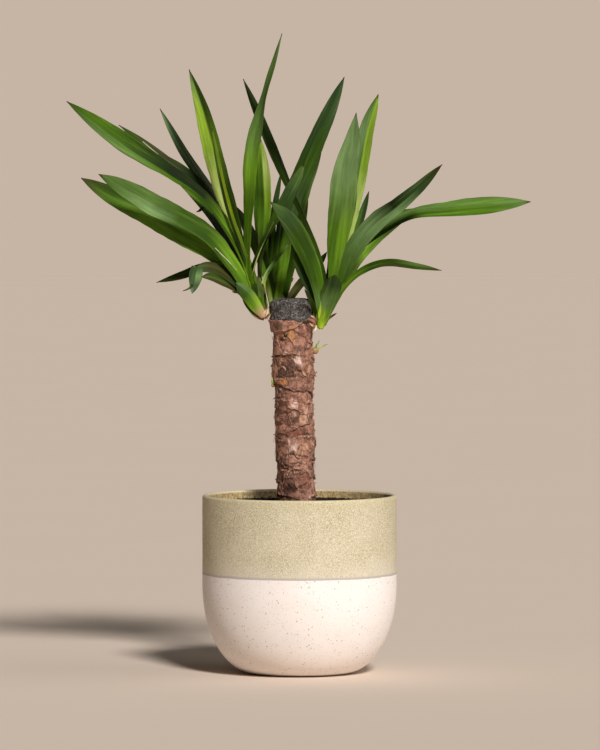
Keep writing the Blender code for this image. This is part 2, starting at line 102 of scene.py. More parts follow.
# Loose bark: how many scraps, the ends of their lengths, widths and lifts, the spread of their slopes,
# and their seed.
LOOSE_BARK = {
    "bark_flakes": (120, (2.5, 8.0), (1.0, 3.0), (0.3, 1.1), 0.5, 17),
    "bark_fibres": (150, (5.0, 15.0), (0.35, 0.8), (0.2, 0.9), 0.9, 18),
}
RING_SPREAD = 5.5
SCRAP_SHAPE = (8, 6)
# The radius that scraps are bent round.
SCRAP_SPREAD = 19.5
# Patches of bark: degrees round from the front, height, half width, half height, slant, and its look.
BARK_PATCHES = [
    (-2, 333, 4, 12, 0.1, "tan"), (-33, 327, 4.5, 4, 0, "dark"), (-37, 340, 7, 6, 0, "grey"),
    (36, 335, 7, 7, 0, "red"), (-17, 314, 3.5, 1.6, 0, "pale"), (19, 317, 4.5, 3.5, 0, "grey"),
    (16, 305, 5.5, 8, 0.1, "pale"), (-28, 294, 9, 7, -0.2, "dark"), (14, 299, 4, 3.5, 0, "grey"),
    (-34, 285, 7, 3.5, 0, "orange"), (-40, 278, 6, 1.8, 0, "pale"), (52, 298, 4.5, 11, 0.1, "light"),
    (-6, 265, 13, 9, 0, "red"), (-2, 264, 4, 6, 0, "pale"), (45, 258, 1.6, 12, 0.25, "dark"),
    (25, 249, 6, 5.5, 0, "light"), (6, 234, 12, 6, 0, "red"), (-10, 221, 6.5, 11, 0, "pale"),
    (30, 222, 7, 7, 0, "light"), (-44, 207, 5, 7, 0, "dark"), (9, 205, 4, 3.5, 0, "grey"),
    (20, 190, 10, 8, 0, "red"), (-20, 182, 8, 6, 0, "dark"), (46, 173, 5, 3, 0.2, "pale"),
]
# The pale look is partly paler bark and partly painted highlight, placed where the smooth bark shines.
BARK_LOOKS = {
    "tan": (206, 146, 90), "grey": (74, 60, 48), "red": (146, 88, 70), "pale": (240, 204, 188),
    "dark": (48, 30, 21), "orange": (196, 128, 70), "light": (206, 156, 124),
}
UNSEEN_PATCHES = 36
# The bark swells to the left under the wax, where the left shoot grows out.
NECK_BULGE = 2.8
NECK_ANGLE = math.radians(192)
NECK_SPREAD = 0.6
NECK_FOOT = 324
WAX_BOTTOM = box("wax_cap")[0][2]
WAX_TOP = box("wax_cap")[1][2]
WAX_COAT = 1.5
WAX_RADIUS = 22.4
WAX_SHIFT = 0.4
WAX_ROUND = 6.5
WAX_SQUARENESS = 1.3
GRIT_HEIGHT = 0.5
WAX_LUMPS = 0.55
WAX_ROWS = 116
WAX_COLUMNS = 260

# Blades
BLADE_ROWS = 104
SHEATH_ROWS = 40
BUD_ROWS = 24
HEART_SHAPE = (40, 36)
KNOB_SHAPE = (14, 18)
FACE_POINTS = 15
BLADE_THICKNESS = 0.95
ROOT_THICKNESS = 2.4
# A leaf is thicker over the first fifth of its length.
ROOT_TAPER = 5
EDGE_THICKNESS = 0.3
TIP_WIDTH = 0.7
TIP_SHARPNESS = 12
CREASE = 0.01
OUTLINE_WAVE = 0.03
EDGE_RIPPLE = 0.035
# The waves along an edge, each with its length and its strength.
WAVES = ((14, 1), (5.3, 0.7), (2.3, 0.35))
BACK = np.array([0.0, 1.0, 0.0])
# Added to the distance from the tip, so that no dry tip shows.
FAR = 1000
HEART_RADII = (3.8, 4.2, 4.8, 5.6, 5.4, 1.5)

# Each leaf: its route from root to tip, its widths and its turns at even steps along it, its fold, and the
# greens of its left and right halves at even steps, as letters of the leaf palette below. These greens are
# partly the leaf's own colour and partly painted light and shade: a half is painted lighter where light
# falls on it or shines through it, darker where shade falls, and with a painted sheen. A turn is in degrees
# about the route, from facing the front, and a fold is positive where the blade is hollow to the front.
LEFT_LEAVES = {
    "long_left": (
        [(-37, -2, 355), (-52, -7, 402), (-68, -12, 433), (-92, -21, 465), (-124, -34, 489),
         (-166, -50, 516), (-200, -64, 540), (-224, -76, 558)],
        (13, 16, 17, 23, 15), (-50, -55, -62, -44, -40), 24, "lfddgttd", "ggfkkdgd"),
    "behind_long": (
        [(-37, 3, 357), (-58, 8, 413), (-76, 12, 454), (-101, 16, 480), (-129, 20, 499), (-156, 25, 520),
         (-177, 28, 535)],
        (11, 15, 16, 15, 10), (-45,), 15, "ffddddd", "ddkkkod"),
    "blue_upper": (
        [(-39, 4, 359), (-55, 10, 407), (-73, 16, 449), (-94, 24, 480), (-115, 32, 511), (-137, 42, 551)],
        (8, 11, 12, 12, 9), (-40,), 12, "gdkkkbs", "gdkkkkb"),
    "broad_front": (
        [(-38, -4, 354), (-53, -13, 380), (-69, -23, 406), (-87, -34, 428), (-112, -45, 444),
         (-140, -58, 458), (-166, -72, 473), (-193, -86, 488)],
        (11, 16, 19, 22, 18), (-45, -35, -30, -28), 12, "lggddstd", "yffddttt"),
    "broad_under": (
        [(-39, -3, 354), (-58, -9, 388), (-84, -16, 411), (-116, -25, 430), (-148, -34, 449),
         (-180, -43, 466), (-211, -54, 484)],
        (11, 18, 22, 22, 18), (-45, -30, -28), 12, "lgfffgo", "llfggdo"),
    "short_under": (
        [(-38, 0, 358), (-52, 0, 398), (-70, 1, 428), (-87, 1, 451), (-107, 0, 472), (-124, -4, 485)],
        (10, 15, 17, 15, 10), (-40,), 12, "llkkgo", "flfddk"),
    "droop_back": (
        [(-37, -3, 350), (-53, -2, 374), (-69, 2, 390), (-89, 7, 397), (-114, 12, 388.5),
         (-140, 16, 381)],
        (9, 10, 11, 12, 11, 6), (-45, -40, -30, -25), 10, "dgodod", "lgdddo"),
    "folded_over": (
        [(-38, -6, 350), (-53, -13, 374), (-68, -20, 387.5), (-82, -27, 396), (-93, -33, 397),
         (-103, -38, 393)],
        (9, 12, 12, 12, 12, 12), (-50, -50, -48, -45, -30), 8, "dbboob", "lsboob"),
    "low_left": (
        [(-37, -4, 350), (-47, -8, 360), (-59, -15, 374), (-73, -25, 382.5), (-85, -33, 388),
         (-95, -40, 388)],
        (7, 8, 8, 9.5, 10.5, 9), (-48, -45), 10, "kkoood", "fdoddo"),
    "bright_tall": (
        [(-39, -1, 358), (-53, -5, 400), (-63, -8, 435), (-75, -11, 474), (-85, -15, 511),
         (-94, -22, 548), (-107, -29, 589)],
        (9, 11, 20, 18, 11), (45, 30, 22, 20), 20, "yfpplls", "fdddfdd"),
    "rolled_spear": (
        [(-40, -4, 364), (-55, -11, 413), (-68, -18, 451), (-78, -27, 493), (-85, -36, 532)],
        (6, 6, 6, 4.5), (25, 20), 30, "ydkkkdd", "yflyyll"),
    "tallest": (
        [(-43, -4, 358), (-51, -9, 394), (-51, -11, 428), (-49, -12, 466), (-47, -14, 506),
         (-40, -15, 542), (-32, -14, 573), (-25, -14, 596), (-17, -11, 624)],
        (9, 12, 13, 15, 15, 14, 13, 10, 7), (50, 55, 56, 50, 30, 20, 66, 55, 50), 10,
        "ylggftttb", "lffgfttts"),
    "pale_upright": (
        [(-37, 2, 359), (-39, 4, 398), (-36, 5, 425), (-35, 5, 452), (-36, 4, 486), (-38, 2, 522)],
        (6, 5, 14, 17, 12), (35, 25, 22), 14, "gkogdgl", "gktflpl"),
    "crossing_right": (
        [(-41, -2, 362), (-46, -6, 392), (-37, -9, 417), (-25, -13, 441), (-12, -18, 464), (5, -23, 498)],
        (5, 6, 7.5, 14, 12), (60, 55, 40, 25, 20), 14, "dkddbt", "kkkdbt"),
    "thin_right": (
        [(-33, -3, 358), (-35, -5, 382), (-25, -3, 401), (-9, 1, 421)],
        (5, 4.5, 3.5), (30,), 10, "qpstt", "gpdtt"),
    "small_front": (
        [(-37, -8, 359), (-38, -18, 373), (-40, -29, 390)],
        (6, 7, 5), (40,), 12, "lss", "lsp"),
    "small_inner": (
        [(-35, -7, 359), (-35, -14, 369), (-36, -22, 381)],
        (5, 6, 4), (30,), 12, "ssgp", "tgkpp"),
    "far_upright": (
        [(-43, 4, 359), (-58, 40, 407), (-73, 80, 449), (-87, 120, 500)],
        (10, 17, 18, 14), (30, 25, 20), -14, "ldfgd", "lgfgd"),
    "far_low": (
        [(-41, 4, 353), (-62, 40, 391), (-93, 80, 421), (-134, 110, 448)],
        (10, 17, 18, 14), (30, 25, 20), -14, "lfdgd", "lgfdd"),
    "far_long": (
        [(-39, 4, 357), (-66, 45, 424), (-103, 90, 475), (-149, 125, 510)],
        (10, 17, 18, 14), (30, 25, 20), -14, "lffgd", "ldfgd"),
}
RIGHT_LEAVES = {
    "edge_lined": (
        [(22, -3, 343), (25, -3, 374), (18, 0, 408), (4, 4, 444), (-10, 8, 474), (-24, 11, 506),
         (-40, 14, 545), (-55, 16, 580)],
        (6, 7, 6.5, 8, 12, 12, 9), (40, 30, 50, 45, 36, 30), 12, "lgdddkkk", "ddgdbkbb"),
    "front_left": (
        [(19, -6, 341), (20, -14, 365), (13, -24, 396), (1, -34, 424), (-12, -44, 445), (-28, -54, 461)],
        (10, 14, 19, 19, 12), (-50, -30, -22), -10, "gtdddbt", "gfgddbt"),
    "under_front_left": (
        [(18, -4, 341), (17, -10, 363), (9, -15, 380), (0, -21, 398), (-8, -27, 419)],
        (8, 11, 12, 9), (-45, -40), -10, "gdbbdb", "ddbkdd"),
    "broad_upright": (
        [(24, -4, 347), (31, -10, 376), (34, -15, 402), (38, -20, 435), (42, -25, 462), (45, -28, 491),
         (51, -32, 518), (55, -36, 547)],
        (10, 10, 22, 27, 22, 12), (40, 20, 12, 12), 10, "yfggtsss", "yffftsss"),
    "yellow_upright": (
        [(25, 1, 351), (36, 3, 388), (45, 6, 423), (52, 8, 457), (59, 10, 496), (66, 12, 532),
         (77, 15, 565)],
        (9, 13, 17, 19, 16), (40, 30, 28), 12, "yplgtsg", "yppplll"),
    "short_blue": (
        [(25, 3, 351), (40, 11, 388), (51, 18, 420), (60, 23, 444), (68, 28, 470)],
        (7, 10, 10, 8), (35,), 10, "gftgtb", "gfltbb"),
    "grey_right": (
        [(25, -3, 349), (38, -9, 382), (51, -15, 412), (70, -22, 437), (94, -31, 456), (116, -38, 475),
         (138, -47, 497)],
        (10, 19, 21, 15, 11), (45, 35, 30), 14, "ygtskbo", "lgtssbo"),
    "long_right": (
        [(25, -1, 347), (37, 0, 386), (53, 2, 412), (79, 4, 432), (110, 7, 448.5), (147, 10, 453),
         (186, 12, 457), (226, 14, 460)],
        (10, 13, 13, 12, 18, 22, 18), (45, 42, 38, 32, 25), 12, "lfttggt", "lfgdggt"),
    "thin_arc": (
        [(24, -4, 341), (35, -10, 364), (46, -18, 381), (63, -28, 395), (86, -41, 402), (112, -55, 399),
         (137, -68, 395)],
        (8, 10, 10, 9, 6), (58, 68, 70), 12, "plfddto", "ylfdodo"),
    "dry_spike": (
        [(17, -6, 344), (13, -20, 360), (9, -31, 369), (5, -41, 376)],
        (5, 6.5, 6, 3), (40,), 8, "gdtq", "gddo"),
    "low_spike": (
        [(20, -4, 339), (29, -10, 347), (36, -16, 352)],
        (4, 3, 2), (40,), 8, "yyqo", "yyqo"),
    "far_upright": (
        [(25, 4, 353), (36, 40, 398), (44, 80, 449), (52, 115, 502)],
        (10, 18, 19, 14), (20,), -14, "ldfgd", "lgfgd"),
    "far_right": (
        [(25, 4, 349), (50, 40, 398), (80, 75, 431), (114, 105, 452)],
        (10, 17, 18, 14), (-25,), -14, "lfdgd", "lgfdd"),
}
BACK_LEAVES = {
    "tall_right": (
        [(-23, 25, 360), (-19, 28, 395), (-15, 31, 426), (-8, 33, 459), (3, 35, 487), (17, 37, 520),
         (31, 39, 552), (44, 40, 582)],
        (12, 21, 21, 19, 13), (40, 28, 25), -14, "fgkbdbbb", "lfdbddbb"),
    "olive_right": (
        [(-18, 29, 360), (-12, 36, 395), (-6, 42, 430), (1, 47, 463), (11, 51, 489), (22, 54, 513)],
        (10, 15, 16, 16, 12), (35, 28), 12, "gdddggs", "gdddto"),
    "short_dark": (
        [(-17, 30, 360), (-9, 42, 393), (-1, 52, 424), (4, 59, 449), (8, 64, 466)],
        (8, 10, 11, 9), (35,), 10, "gdkdo", "gdodr"),
    "narrow_left": (
        [(-24, 28, 360), (-27, 36, 401), (-26, 42, 442), (-18, 48, 489)],
        (7, 8, 8, 6), (35,), 10, "ddkbb", "ggdbb"),
    "dark_left": (
        [(-25, 26, 358), (-29, 27, 378), (-37, 30, 405), (-49, 34, 430), (-62, 38, 455)],
        (8, 11, 13, 13, 9), (30,), 10, "plgkk", "ddkdk"),
    "brown_right": (
        [(-16, 27, 354), (-8, 33, 367), (3, 40, 382), (16, 48, 395), (27, 54, 410)],
        (8, 11, 12, 9), (45,), 12, "qqoddt", "oooddk"),
    "far_upright": (
        [(-19, 32, 359), (-15, 66, 400), (-2, 104, 455), (18, 140, 514)],
        (10, 18, 19, 14), (20,), -14, "ldfgd", "lgfgd"),
    "far_left": (
        [(-25, 32, 359), (-31, 66, 400), (-37, 104, 445), (-38, 138, 495)],
        (10, 17, 18, 14), (20,), -14, "lfdgd", "lgfdd"),
    "far_droop": (
        [(-20, 32, 357), (-17, 70, 374), (-15, 112, 381), (-17, 150, 368)],
        (10, 17, 18, 14), (20,), -14, "lffgd", "ldfgd"),
}
# Sheaths, torn hooks, dry scraps, thin pale strips that paint highlights along lit leaf edges, a hanging
# leaf end and one leaf bent towards the viewer, listed in the same way. They are drawn without dry tips.
LEFT_SCRAPS = {
    "sheath_under": (
        [(-34, -5, 348), (-41, -8, 352), (-48, -11, 362), (-56, -14, 376)],
        (8, 13, 14, 9), (-30, -35), 20, "ngtd", "nltg"),
    "sheath_front": (
        [(-34.5, -9, 348.5), (-42.5, -13, 359), (-51, -17, 370.5), (-62, -20, 382)],
        (7, 13, 14, 10), (-15, -30), -22, "nfdb", "nlts"),
    "sheath_middle": (
        [(-33, -8, 349.5), (-37.5, -12, 359), (-41.5, -14, 370), (-44, -16, 384)],
        (5, 8, 7, 3), (10, 10), 30, "ngdd", "nfgd"),
    "sheath_inner": (
        [(-32.5, -6, 350), (-35, -9, 360), (-36.5, -11, 369), (-37, -12, 379)],
        (5, 6, 6, 4), (20, 25), 30, "nldg", "ngdd"),
    "sheath_back": (
        [(-33, 3, 350), (-39, 5, 360), (-43, 6, 372), (-45, 7, 386)],
        (7, 10, 10, 6), (150, 160), 30, "yylf", "yylf"),
    "papery_one": (
        [(-35.5, -9, 347.5), (-32.5, -10.5, 352), (-30, -10, 358)],
        (3, 4, 2), (15,), 20, "nnm", "nwn"),
    "papery_two": ([(-37, -10, 349), (-34, -12, 352), (-32, -12, 356)], (2, 3, 2), (-20,), 20, "mwn", "nnm"),
    "papery_three": (
        [(-34, -8, 346.5), (-30.5, -10, 348), (-28, -9, 351)],
        (2, 2.6, 1), (-40,), 20, "nmm", "mwn"),
    "short_hook": (
        [(-94, -2, 455), (-97.5, -4, 451.5), (-100.5, -6, 450.5)],
        (4.4, 3.2, 1), (-40,), 10, "dkk", "kkk"),
    "low_hook": (
        [(-58, -24, 374), (-62, -26, 372.5), (-65.5, -27, 373.5)],
        (3.4, 2.8, 1), (-50,), 10, "dkk", "okk"),
    "split_end": (
        [(-103.5, -42.5, 381), (-107, -43, 377), (-113, -43, 374.5)],
        (4, 3, 1), (-60,), 10, "bto", "bbo"),
    "folded_tip": (
        [(-99, -39, 398), (-100.5, -40, 391), (-102, -41, 382), (-104, -43, 372)],
        (11, 13.5, 9.5, 4), (5,), 10, "bsbb", "bbbs"),
    # Painted highlights: the next three are thin pale strips laid along leaf edges where the light catches
    # them.
    "lit_rim": (
        [(-82, -34, 416), (-74, -32, 408), (-68, -30, 402), (-61, -27, 394)],
        (0.6, 1.0, 0.9, 0.6), (-30,), 0, "wwwp", "wwwp"),
    "upper_rim": (
        [(-152, -38, 519), (-145, -34.5, 513), (-137, -30, 506.5)],
        (0.9, 1.2, 0.9), (-40,), 0, "wwp", "wwp"),
    "cross_rim": (
        [(-47, -10, 386), (-42, -12, 403), (-36, -14, 418), (-25, -17, 441)],
        (0.9, 1.2, 1.1, 0.8), (40,), 0, "qpsq", "qpsq"),
}
RIGHT_SCRAPS = {
    "toward_viewer": (
        [(20, -9, 337), (25, -13, 355), (30, -20, 371), (33.5, -28, 383), (35, -34, 390)],
        (6, 12, 17, 18.5, 14), (12, 4, 0), -12, "ylstbd", "yfttbd"),
    "sheath_low": (
        [(18, -6, 338), (22, -9, 343), (26.5, -10, 352), (31, -11, 364)],
        (6, 9, 9, 5), (38, 40), 28, "nypl", "yypf"),
    "sheath_front": (
        [(16.5, -8, 339), (20, -13, 348), (22.5, -16, 360), (24, -17, 373)],
        (5, 8, 8, 4), (5, 10), 30, "nylg", "nyfg"),
    "sheath_left": (
        [(15, -7, 341), (16, -11, 350), (16.5, -13, 361), (16.5, -14, 373)],
        (4, 6, 6, 4), (-25, -20), 30, "nfgd", "nlgd"),
    "sheath_back": (
        [(17, 3, 341), (21, 5, 350), (25, 6, 362), (28, 7, 376)],
        (7, 10, 10, 6), (160, 165), 30, "yylf", "yylf"),
    "papery_one": (
        [(8, -20.5, 346.5), (12.5, -20, 345), (16, -16, 341)],
        (2, 3, 1.4), (-15,), 20, "mnm", "mmr"),
    "papery_two": (
        [(9.5, -20.5, 342.5), (12, -20.5, 341), (15, -17, 338.5)],
        (1.6, 2.6, 1.4), (-20,), 20, "mnr", "nwm"),
    "papery_three": (
        [(16, -12, 340), (15, -16, 336.5), (12.5, -18, 332.5)],
        (3, 2.8, 1.2), (20,), 20, "nwm", "mmn"),
    "papery_four": (
        [(11, -19, 349.5), (14, -18.5, 348), (17, -14, 344)],
        (1.6, 2.4, 1), (10,), 20, "nmm", "wmm"),
}
# Each shoot: the middle of its leafy heart, the end of its neck at the trunk, its leaves and its scraps.
SHOOTS = {
    "left_shoot": ((-38, -2, 357), (-27, 0, 350), LEFT_LEAVES, LEFT_SCRAPS),
    "right_shoot": ((20.5, -4, 348), (14, -1, 342), RIGHT_LEAVES, RIGHT_SCRAPS),
    "back_shoot": ((-20, 28, 357), (-15, 19, 348), BACK_LEAVES, {}),
}
# Each bud: its root, the tips of its blades, its knob's radius, how ripe the knob is, and its greens.
BUDS = {
    "right_bud": ((15.2, -3.5, 315), [(27, -6, 321.5), (19.4, -4, 325), (17, -8, 322)], 3.4, 0.2, "lps"),
    "left_bud": ((-25.8, -4.2, 281), [(-28, -6, 289), (-26.4, -7, 287)], 1.8, 0.2, "ypp"),
    "front_bud": ((-14.4, -20.2, 328), [(-15, -23.4, 333), (-11.5, -22.6, 332)], 1.3, 0.0, "kok"),
}
BUD_WIDTHS = (2.0, 1.5, 0.9)
BUD_TURNS = (20, 10)
BUD_FOLD = 14


def srgb(red, green, blue):
    """A screen colour, each part from 0 to 255, as a linear one."""
    part = np.array([red, green, blue]) / 255
    return np.where(part > 0.04045, ((part + 0.055) / 1.055) ** 2.4, part / 12.92)


# Leaf tones, as screen colours. Most are the leaves' own greens and browns, but some paint light and shade:
# s and b a painted waxy sheen, w painted highlights along lit edges, and k painted deep shade.
LEAF_TONES_AND_PAINTED_LIGHT = {
    "y": srgb(170, 200, 44),
    "p": srgb(188, 208, 112),
    "w": srgb(226, 228, 196),
    "l": srgb(136, 168, 50),
    "f": srgb(100, 138, 30),
    "g": srgb(74, 108, 20),
    "d": srgb(48, 74, 12),
    "k": srgb(22, 36, 6),
    "b": srgb(50, 72, 36),
    "t": srgb(84, 112, 50),
    "s": srgb(108, 136, 82),
    "o": srgb(58, 60, 24),
    "q": srgb(104, 96, 62),
    "r": srgb(60, 40, 22),
    "n": srgb(206, 156, 128),
    "m": srgb(156, 98, 76),
}


# Materials
class Value:
    """One output of a material's node. Arithmetic on it adds Math nodes."""

    def __init__(self, finish, socket):
        self.finish, self.socket = finish, socket

    def math(self, operation, first, second):
        return self.finish.node("ShaderNodeMath", {"operation": operation}, {0: first, 1: second})

    def __add__(self, other):
        return self.math("ADD", self, other)

    def __sub__(self, other):
        return self.math("SUBTRACT", self, other)

    def __mul__(self, other):
        return self.math("MULTIPLY", self, other)

    def __rsub__(self, other):
        return self.math("SUBTRACT", other, self)

    __radd__ = __add__

    def rise(self, low, high):
        """From 0 at low to 1 at high along a smooth step, and the other way round if low is above high."""
        ends = (low, high, 0.0, 1.0) if low < high else (high, low, 1.0, 0.0)
        inputs = dict(zip(("Value", "From Min", "From Max", "To Min", "To Max"), (self, *ends)))
        return self.finish.node("ShaderNodeMapRange", {"interpolation_type": "SMOOTHSTEP"}, inputs)


class Finish:
    """A material with one Principled shader, and the nodes that feed it."""

    def __init__(self, name, **settings):
        self.material = bpy.data.materials.new(name)
        self.material.use_nodes = True
        self.tree = self.material.node_tree
        self.shader = self.tree.nodes["Principled BSDF"]
        for socket, value in settings.items():
            self.shader.inputs[socket.replace("_", " ")].default_value = value

    def node(self, kind, settings=None, inputs=None, output=0):
        """Adds any node: its settings first, then the values or links of its sockets."""
        made = self.tree.nodes.new(kind)
        for name, value in (settings or {}).items():
            setattr(made, name, value)
        for name, value in (inputs or {}).items():
            if isinstance(value, Value):
                self.tree.links.new(value.socket, made.inputs[name])
            else:
                made.inputs[name].default_value = value
        return Value(self, made.outputs[output])

    def place(self, stretch=(1, 1, 1)):
        """Object coordinates in millimetres, stretched along each axis."""
        here = self.node("ShaderNodeTexCoord", output=3)
        return self.stretched(here, [s / MM for s in stretch])

    def stretched(self, vector, scales):
        return self.node("ShaderNodeVectorMath", {"operation": "MULTIPLY"}, {0: vector, 1: scales})

    def axis(self, vector, name):
        return self.node("ShaderNodeSeparateXYZ", None, {0: vector}, output="XYZ".index(name))

    def attribute(self, name, output="Fac"):
        return self.node("ShaderNodeAttribute", {"attribute_name": name}, output=output)

    def noise(self, vector, scale, detail=2.0, roughness=0.5):
        return self.node("ShaderNodeTexNoise", None,
                         {"Vector": vector, "Scale": scale, "Detail": detail, "Roughness": roughness})

    def cells(self, vector, scale):
        return self.node("ShaderNodeTexVoronoi", None, {"Vector": vector, "Scale": scale}, output="Distance")

    def mix(self, share, first, second):
        """A colour between two, by a share from 0 to 1."""
        sides = {0: share, 6: self.colour(first), 7: self.colour(second)}
        return self.node("ShaderNodeMix", {"data_type": "RGBA"}, sides, output=2)

    def cover(self, colour, *coats):
        """A colour under coats, each given as its share and its colour, the lowest first."""
        for share, coat in coats:
            colour = self.mix(share, colour, coat)
        return colour

    @staticmethod
    def colour(value):
        return value if isinstance(value, Value) else (*map(float, value), 1.0)

    def shade(self, colour, amount):
        """The colour made lighter or darker: every part times an amount."""
        return self.node("ShaderNodeVectorMath", {"operation": "SCALE"}, {0: colour, "Scale": amount})

    def bump(self, height, distance_mm, strength):
        """A normal from a height of 0 to 1, which stands for distance_mm."""
        inputs = {"Height": height, "Distance": distance_mm * MM, "Strength": strength}
        return self.node("ShaderNodeBump", None, inputs)

    def end(self, **links):
        """Feeds the shader's sockets and gives the material."""
        for socket, value in links.items():
            self.tree.links.new(value.socket, self.shader.inputs[socket.replace("_", " ")])
        return self.material


def leaf_finish():
    """Two halves of green with painted light and shade in them, long streaks, fine veins, a brown margin and
    a dry tip.
    """
    leaf = Finish("leaf", Specular_IOR_Level=0.12)
    blade = leaf.attribute("blade", "Vector")
    edge, tip = leaf.attribute("edge"), leaf.attribute("tip")
    half = leaf.axis(blade, "X").rise(-1.1, 1.1)
    # The two halves' greens carry painted light and shade as well as the leaf's own colour.
    green = leaf.mix(half, leaf.attribute("left_green_and_painted_light", "Color"), leaf.attribute("right_green_and_painted_light", "Color"))
    streaks = leaf.noise(leaf.stretched(blade, (0.3, 0.011, 5.3)), 1.0, 4.0, 0.6)
    fine = leaf.noise(leaf.stretched(blade, (1.9, 0.03, 3.1)), 1.0, 2.0, 0.6)
    patches = leaf.noise(leaf.stretched(blade, (0.13, 0.03, 7.7)), 1.0, 3.0, 0.6)
    breaks = leaf.noise(leaf.stretched(blade, (0.3, 0.11, 2.9)), 1.0, 3.0, 0.7)
    dark, light = leaf.shade(green, 0.42), leaf.mix(0.5, leaf.shade(green, 1.8), LEAF_TONES_AND_PAINTED_LIGHT["p"])
    colour = leaf.cover(
        green, (streaks.rise(0.58, 0.34) * 0.5, dark), (streaks.rise(0.54, 0.72) * 0.2, light))
    colour = leaf.shade(colour, 0.44 + fine * 0.45 + patches * 0.95)
    margin = edge.rise(0.8, 0.1) * breaks.rise(0.34, 0.6) * 0.5
    dry = (tip + breaks * 7.0 - 3.5).rise(5.5, 1.0)
    colour = leaf.cover(colour, (margin, srgb(70, 44, 26)), (dry, srgb(58, 40, 26)))
    roughness = 0.36 + streaks * 0.2 + dry * 0.25
    height = fine * 0.6 + streaks * 0.5
    return leaf.end(Base_Color=colour, Roughness=roughness, Normal=leaf.bump(height, 0.25, 0.8))


def glaze_finish():
    """Sandy speckled glaze above, a thin grey line, and pale clay with scattered dark specks below."""
    pot = Finish("stoneware", Specular_IOR_Level=0.3)
    place = pot.place()
    height, inside = pot.axis(place, "Z"), pot.attribute("inside")
    level = height + (pot.noise(place, 0.05, 2.0) * 1.2 - 0.6)
    above = level.rise(GLAZE_EDGE - 0.4, GLAZE_EDGE + 0.4)
    grain, sand = pot.noise(place, 0.95, 3.0, 0.85), pot.noise(place, 0.4, 3.0, 0.65)
    cloud = pot.noise(place, 0.03, 3.0, 0.6)
    pits = pot.cells(place, 0.55).rise(0.2, 0.08) * pot.noise(place, 0.3, 2.0).rise(0.55, 0.64)
    thin = height.rise(GLAZE_EDGE + 24, GLAZE_EDGE + 2)
    rim = height.rise(POT_HEIGHT - 14, POT_HEIGHT)
    line = level.rise(GLAZE_EDGE + 2.6, GLAZE_EDGE + 1.4)
    band = pot.cover(
        pot.mix(grain.rise(0.38, 0.62), srgb(160, 148, 112), srgb(232, 221, 192)),
        (sand.rise(0.42, 0.68) * 0.3, srgb(204, 186, 150)),
        (cloud.rise(0.35, 0.7) * 0.35, srgb(226, 214, 190)),
        (thin * 0.35, srgb(226, 216, 200)), (rim * 0.3, srgb(206, 192, 146)),
        (pits * 0.4, srgb(128, 106, 72)), (line * 0.85, srgb(184, 175, 172)))
    # The inside wall turns nearly black in a narrow band just above the soil.
    dark_above_soil = (height + sand * 3.0).rise(SOIL_TOP + 3.4, SOIL_TOP + 2.2)
    wall = pot.mix(sand.rise(0.35, 0.65), srgb(150, 122, 82), srgb(206, 180, 132))
    wall = pot.mix(dark_above_soil * 0.96, wall, srgb(22, 15, 10))
    band = pot.mix(inside, band, wall)
    faint = pot.noise(place, 0.9, 3.0, 0.75).rise(0.58, 0.74) * cloud.rise(0.65, 0.4)
    spots = pot.cells(place, 0.22).rise(0.17, 0.1) * pot.noise(place, 0.09, 1.0).rise(0.42, 0.52)
    small = pot.cells(place, 0.5).rise(0.26, 0.14) * pot.noise(place, 0.17, 2.0).rise(0.4, 0.54)
    clay = pot.cover(
        pot.mix(cloud, srgb(243, 231, 223), srgb(250, 243, 238)), (faint * 0.35, srgb(196, 176, 160)),
        (spots * 0.7, srgb(124, 108, 100)), (small * 0.55, srgb(156, 138, 126)))
    colour = pot.mix(above, clay, band)
    roughness = 0.6 - above * 0.1 + grain * 0.15
    relief = grain * 0.5 * above + sand * 0.35 + above * 0.5
    return pot.end(Base_Color=colour, Roughness=roughness, Normal=pot.bump(relief, 0.3, 0.6))


def soil_finish():
    """Dark moist peat with browner fibres and crumbs."""
    soil = Finish("soil", Specular_IOR_Level=0.25)
    place = soil.place()
    lumps, grains = soil.noise(place, 0.16, 4.0, 0.7), soil.noise(place, 0.8, 3.0, 0.7)
    colour = soil.mix(lumps.rise(0.35, 0.7), srgb(20, 14, 10), srgb(48, 34, 24))
    colour = soil.mix(grains.rise(0.6, 0.78) * 0.6, colour, srgb(84, 62, 42))
    relief = soil.bump(grains + lumps, 0.9, 0.9)
    return soil.end(Base_Color=colour, Roughness=0.7 + grains * 0.3, Normal=relief)


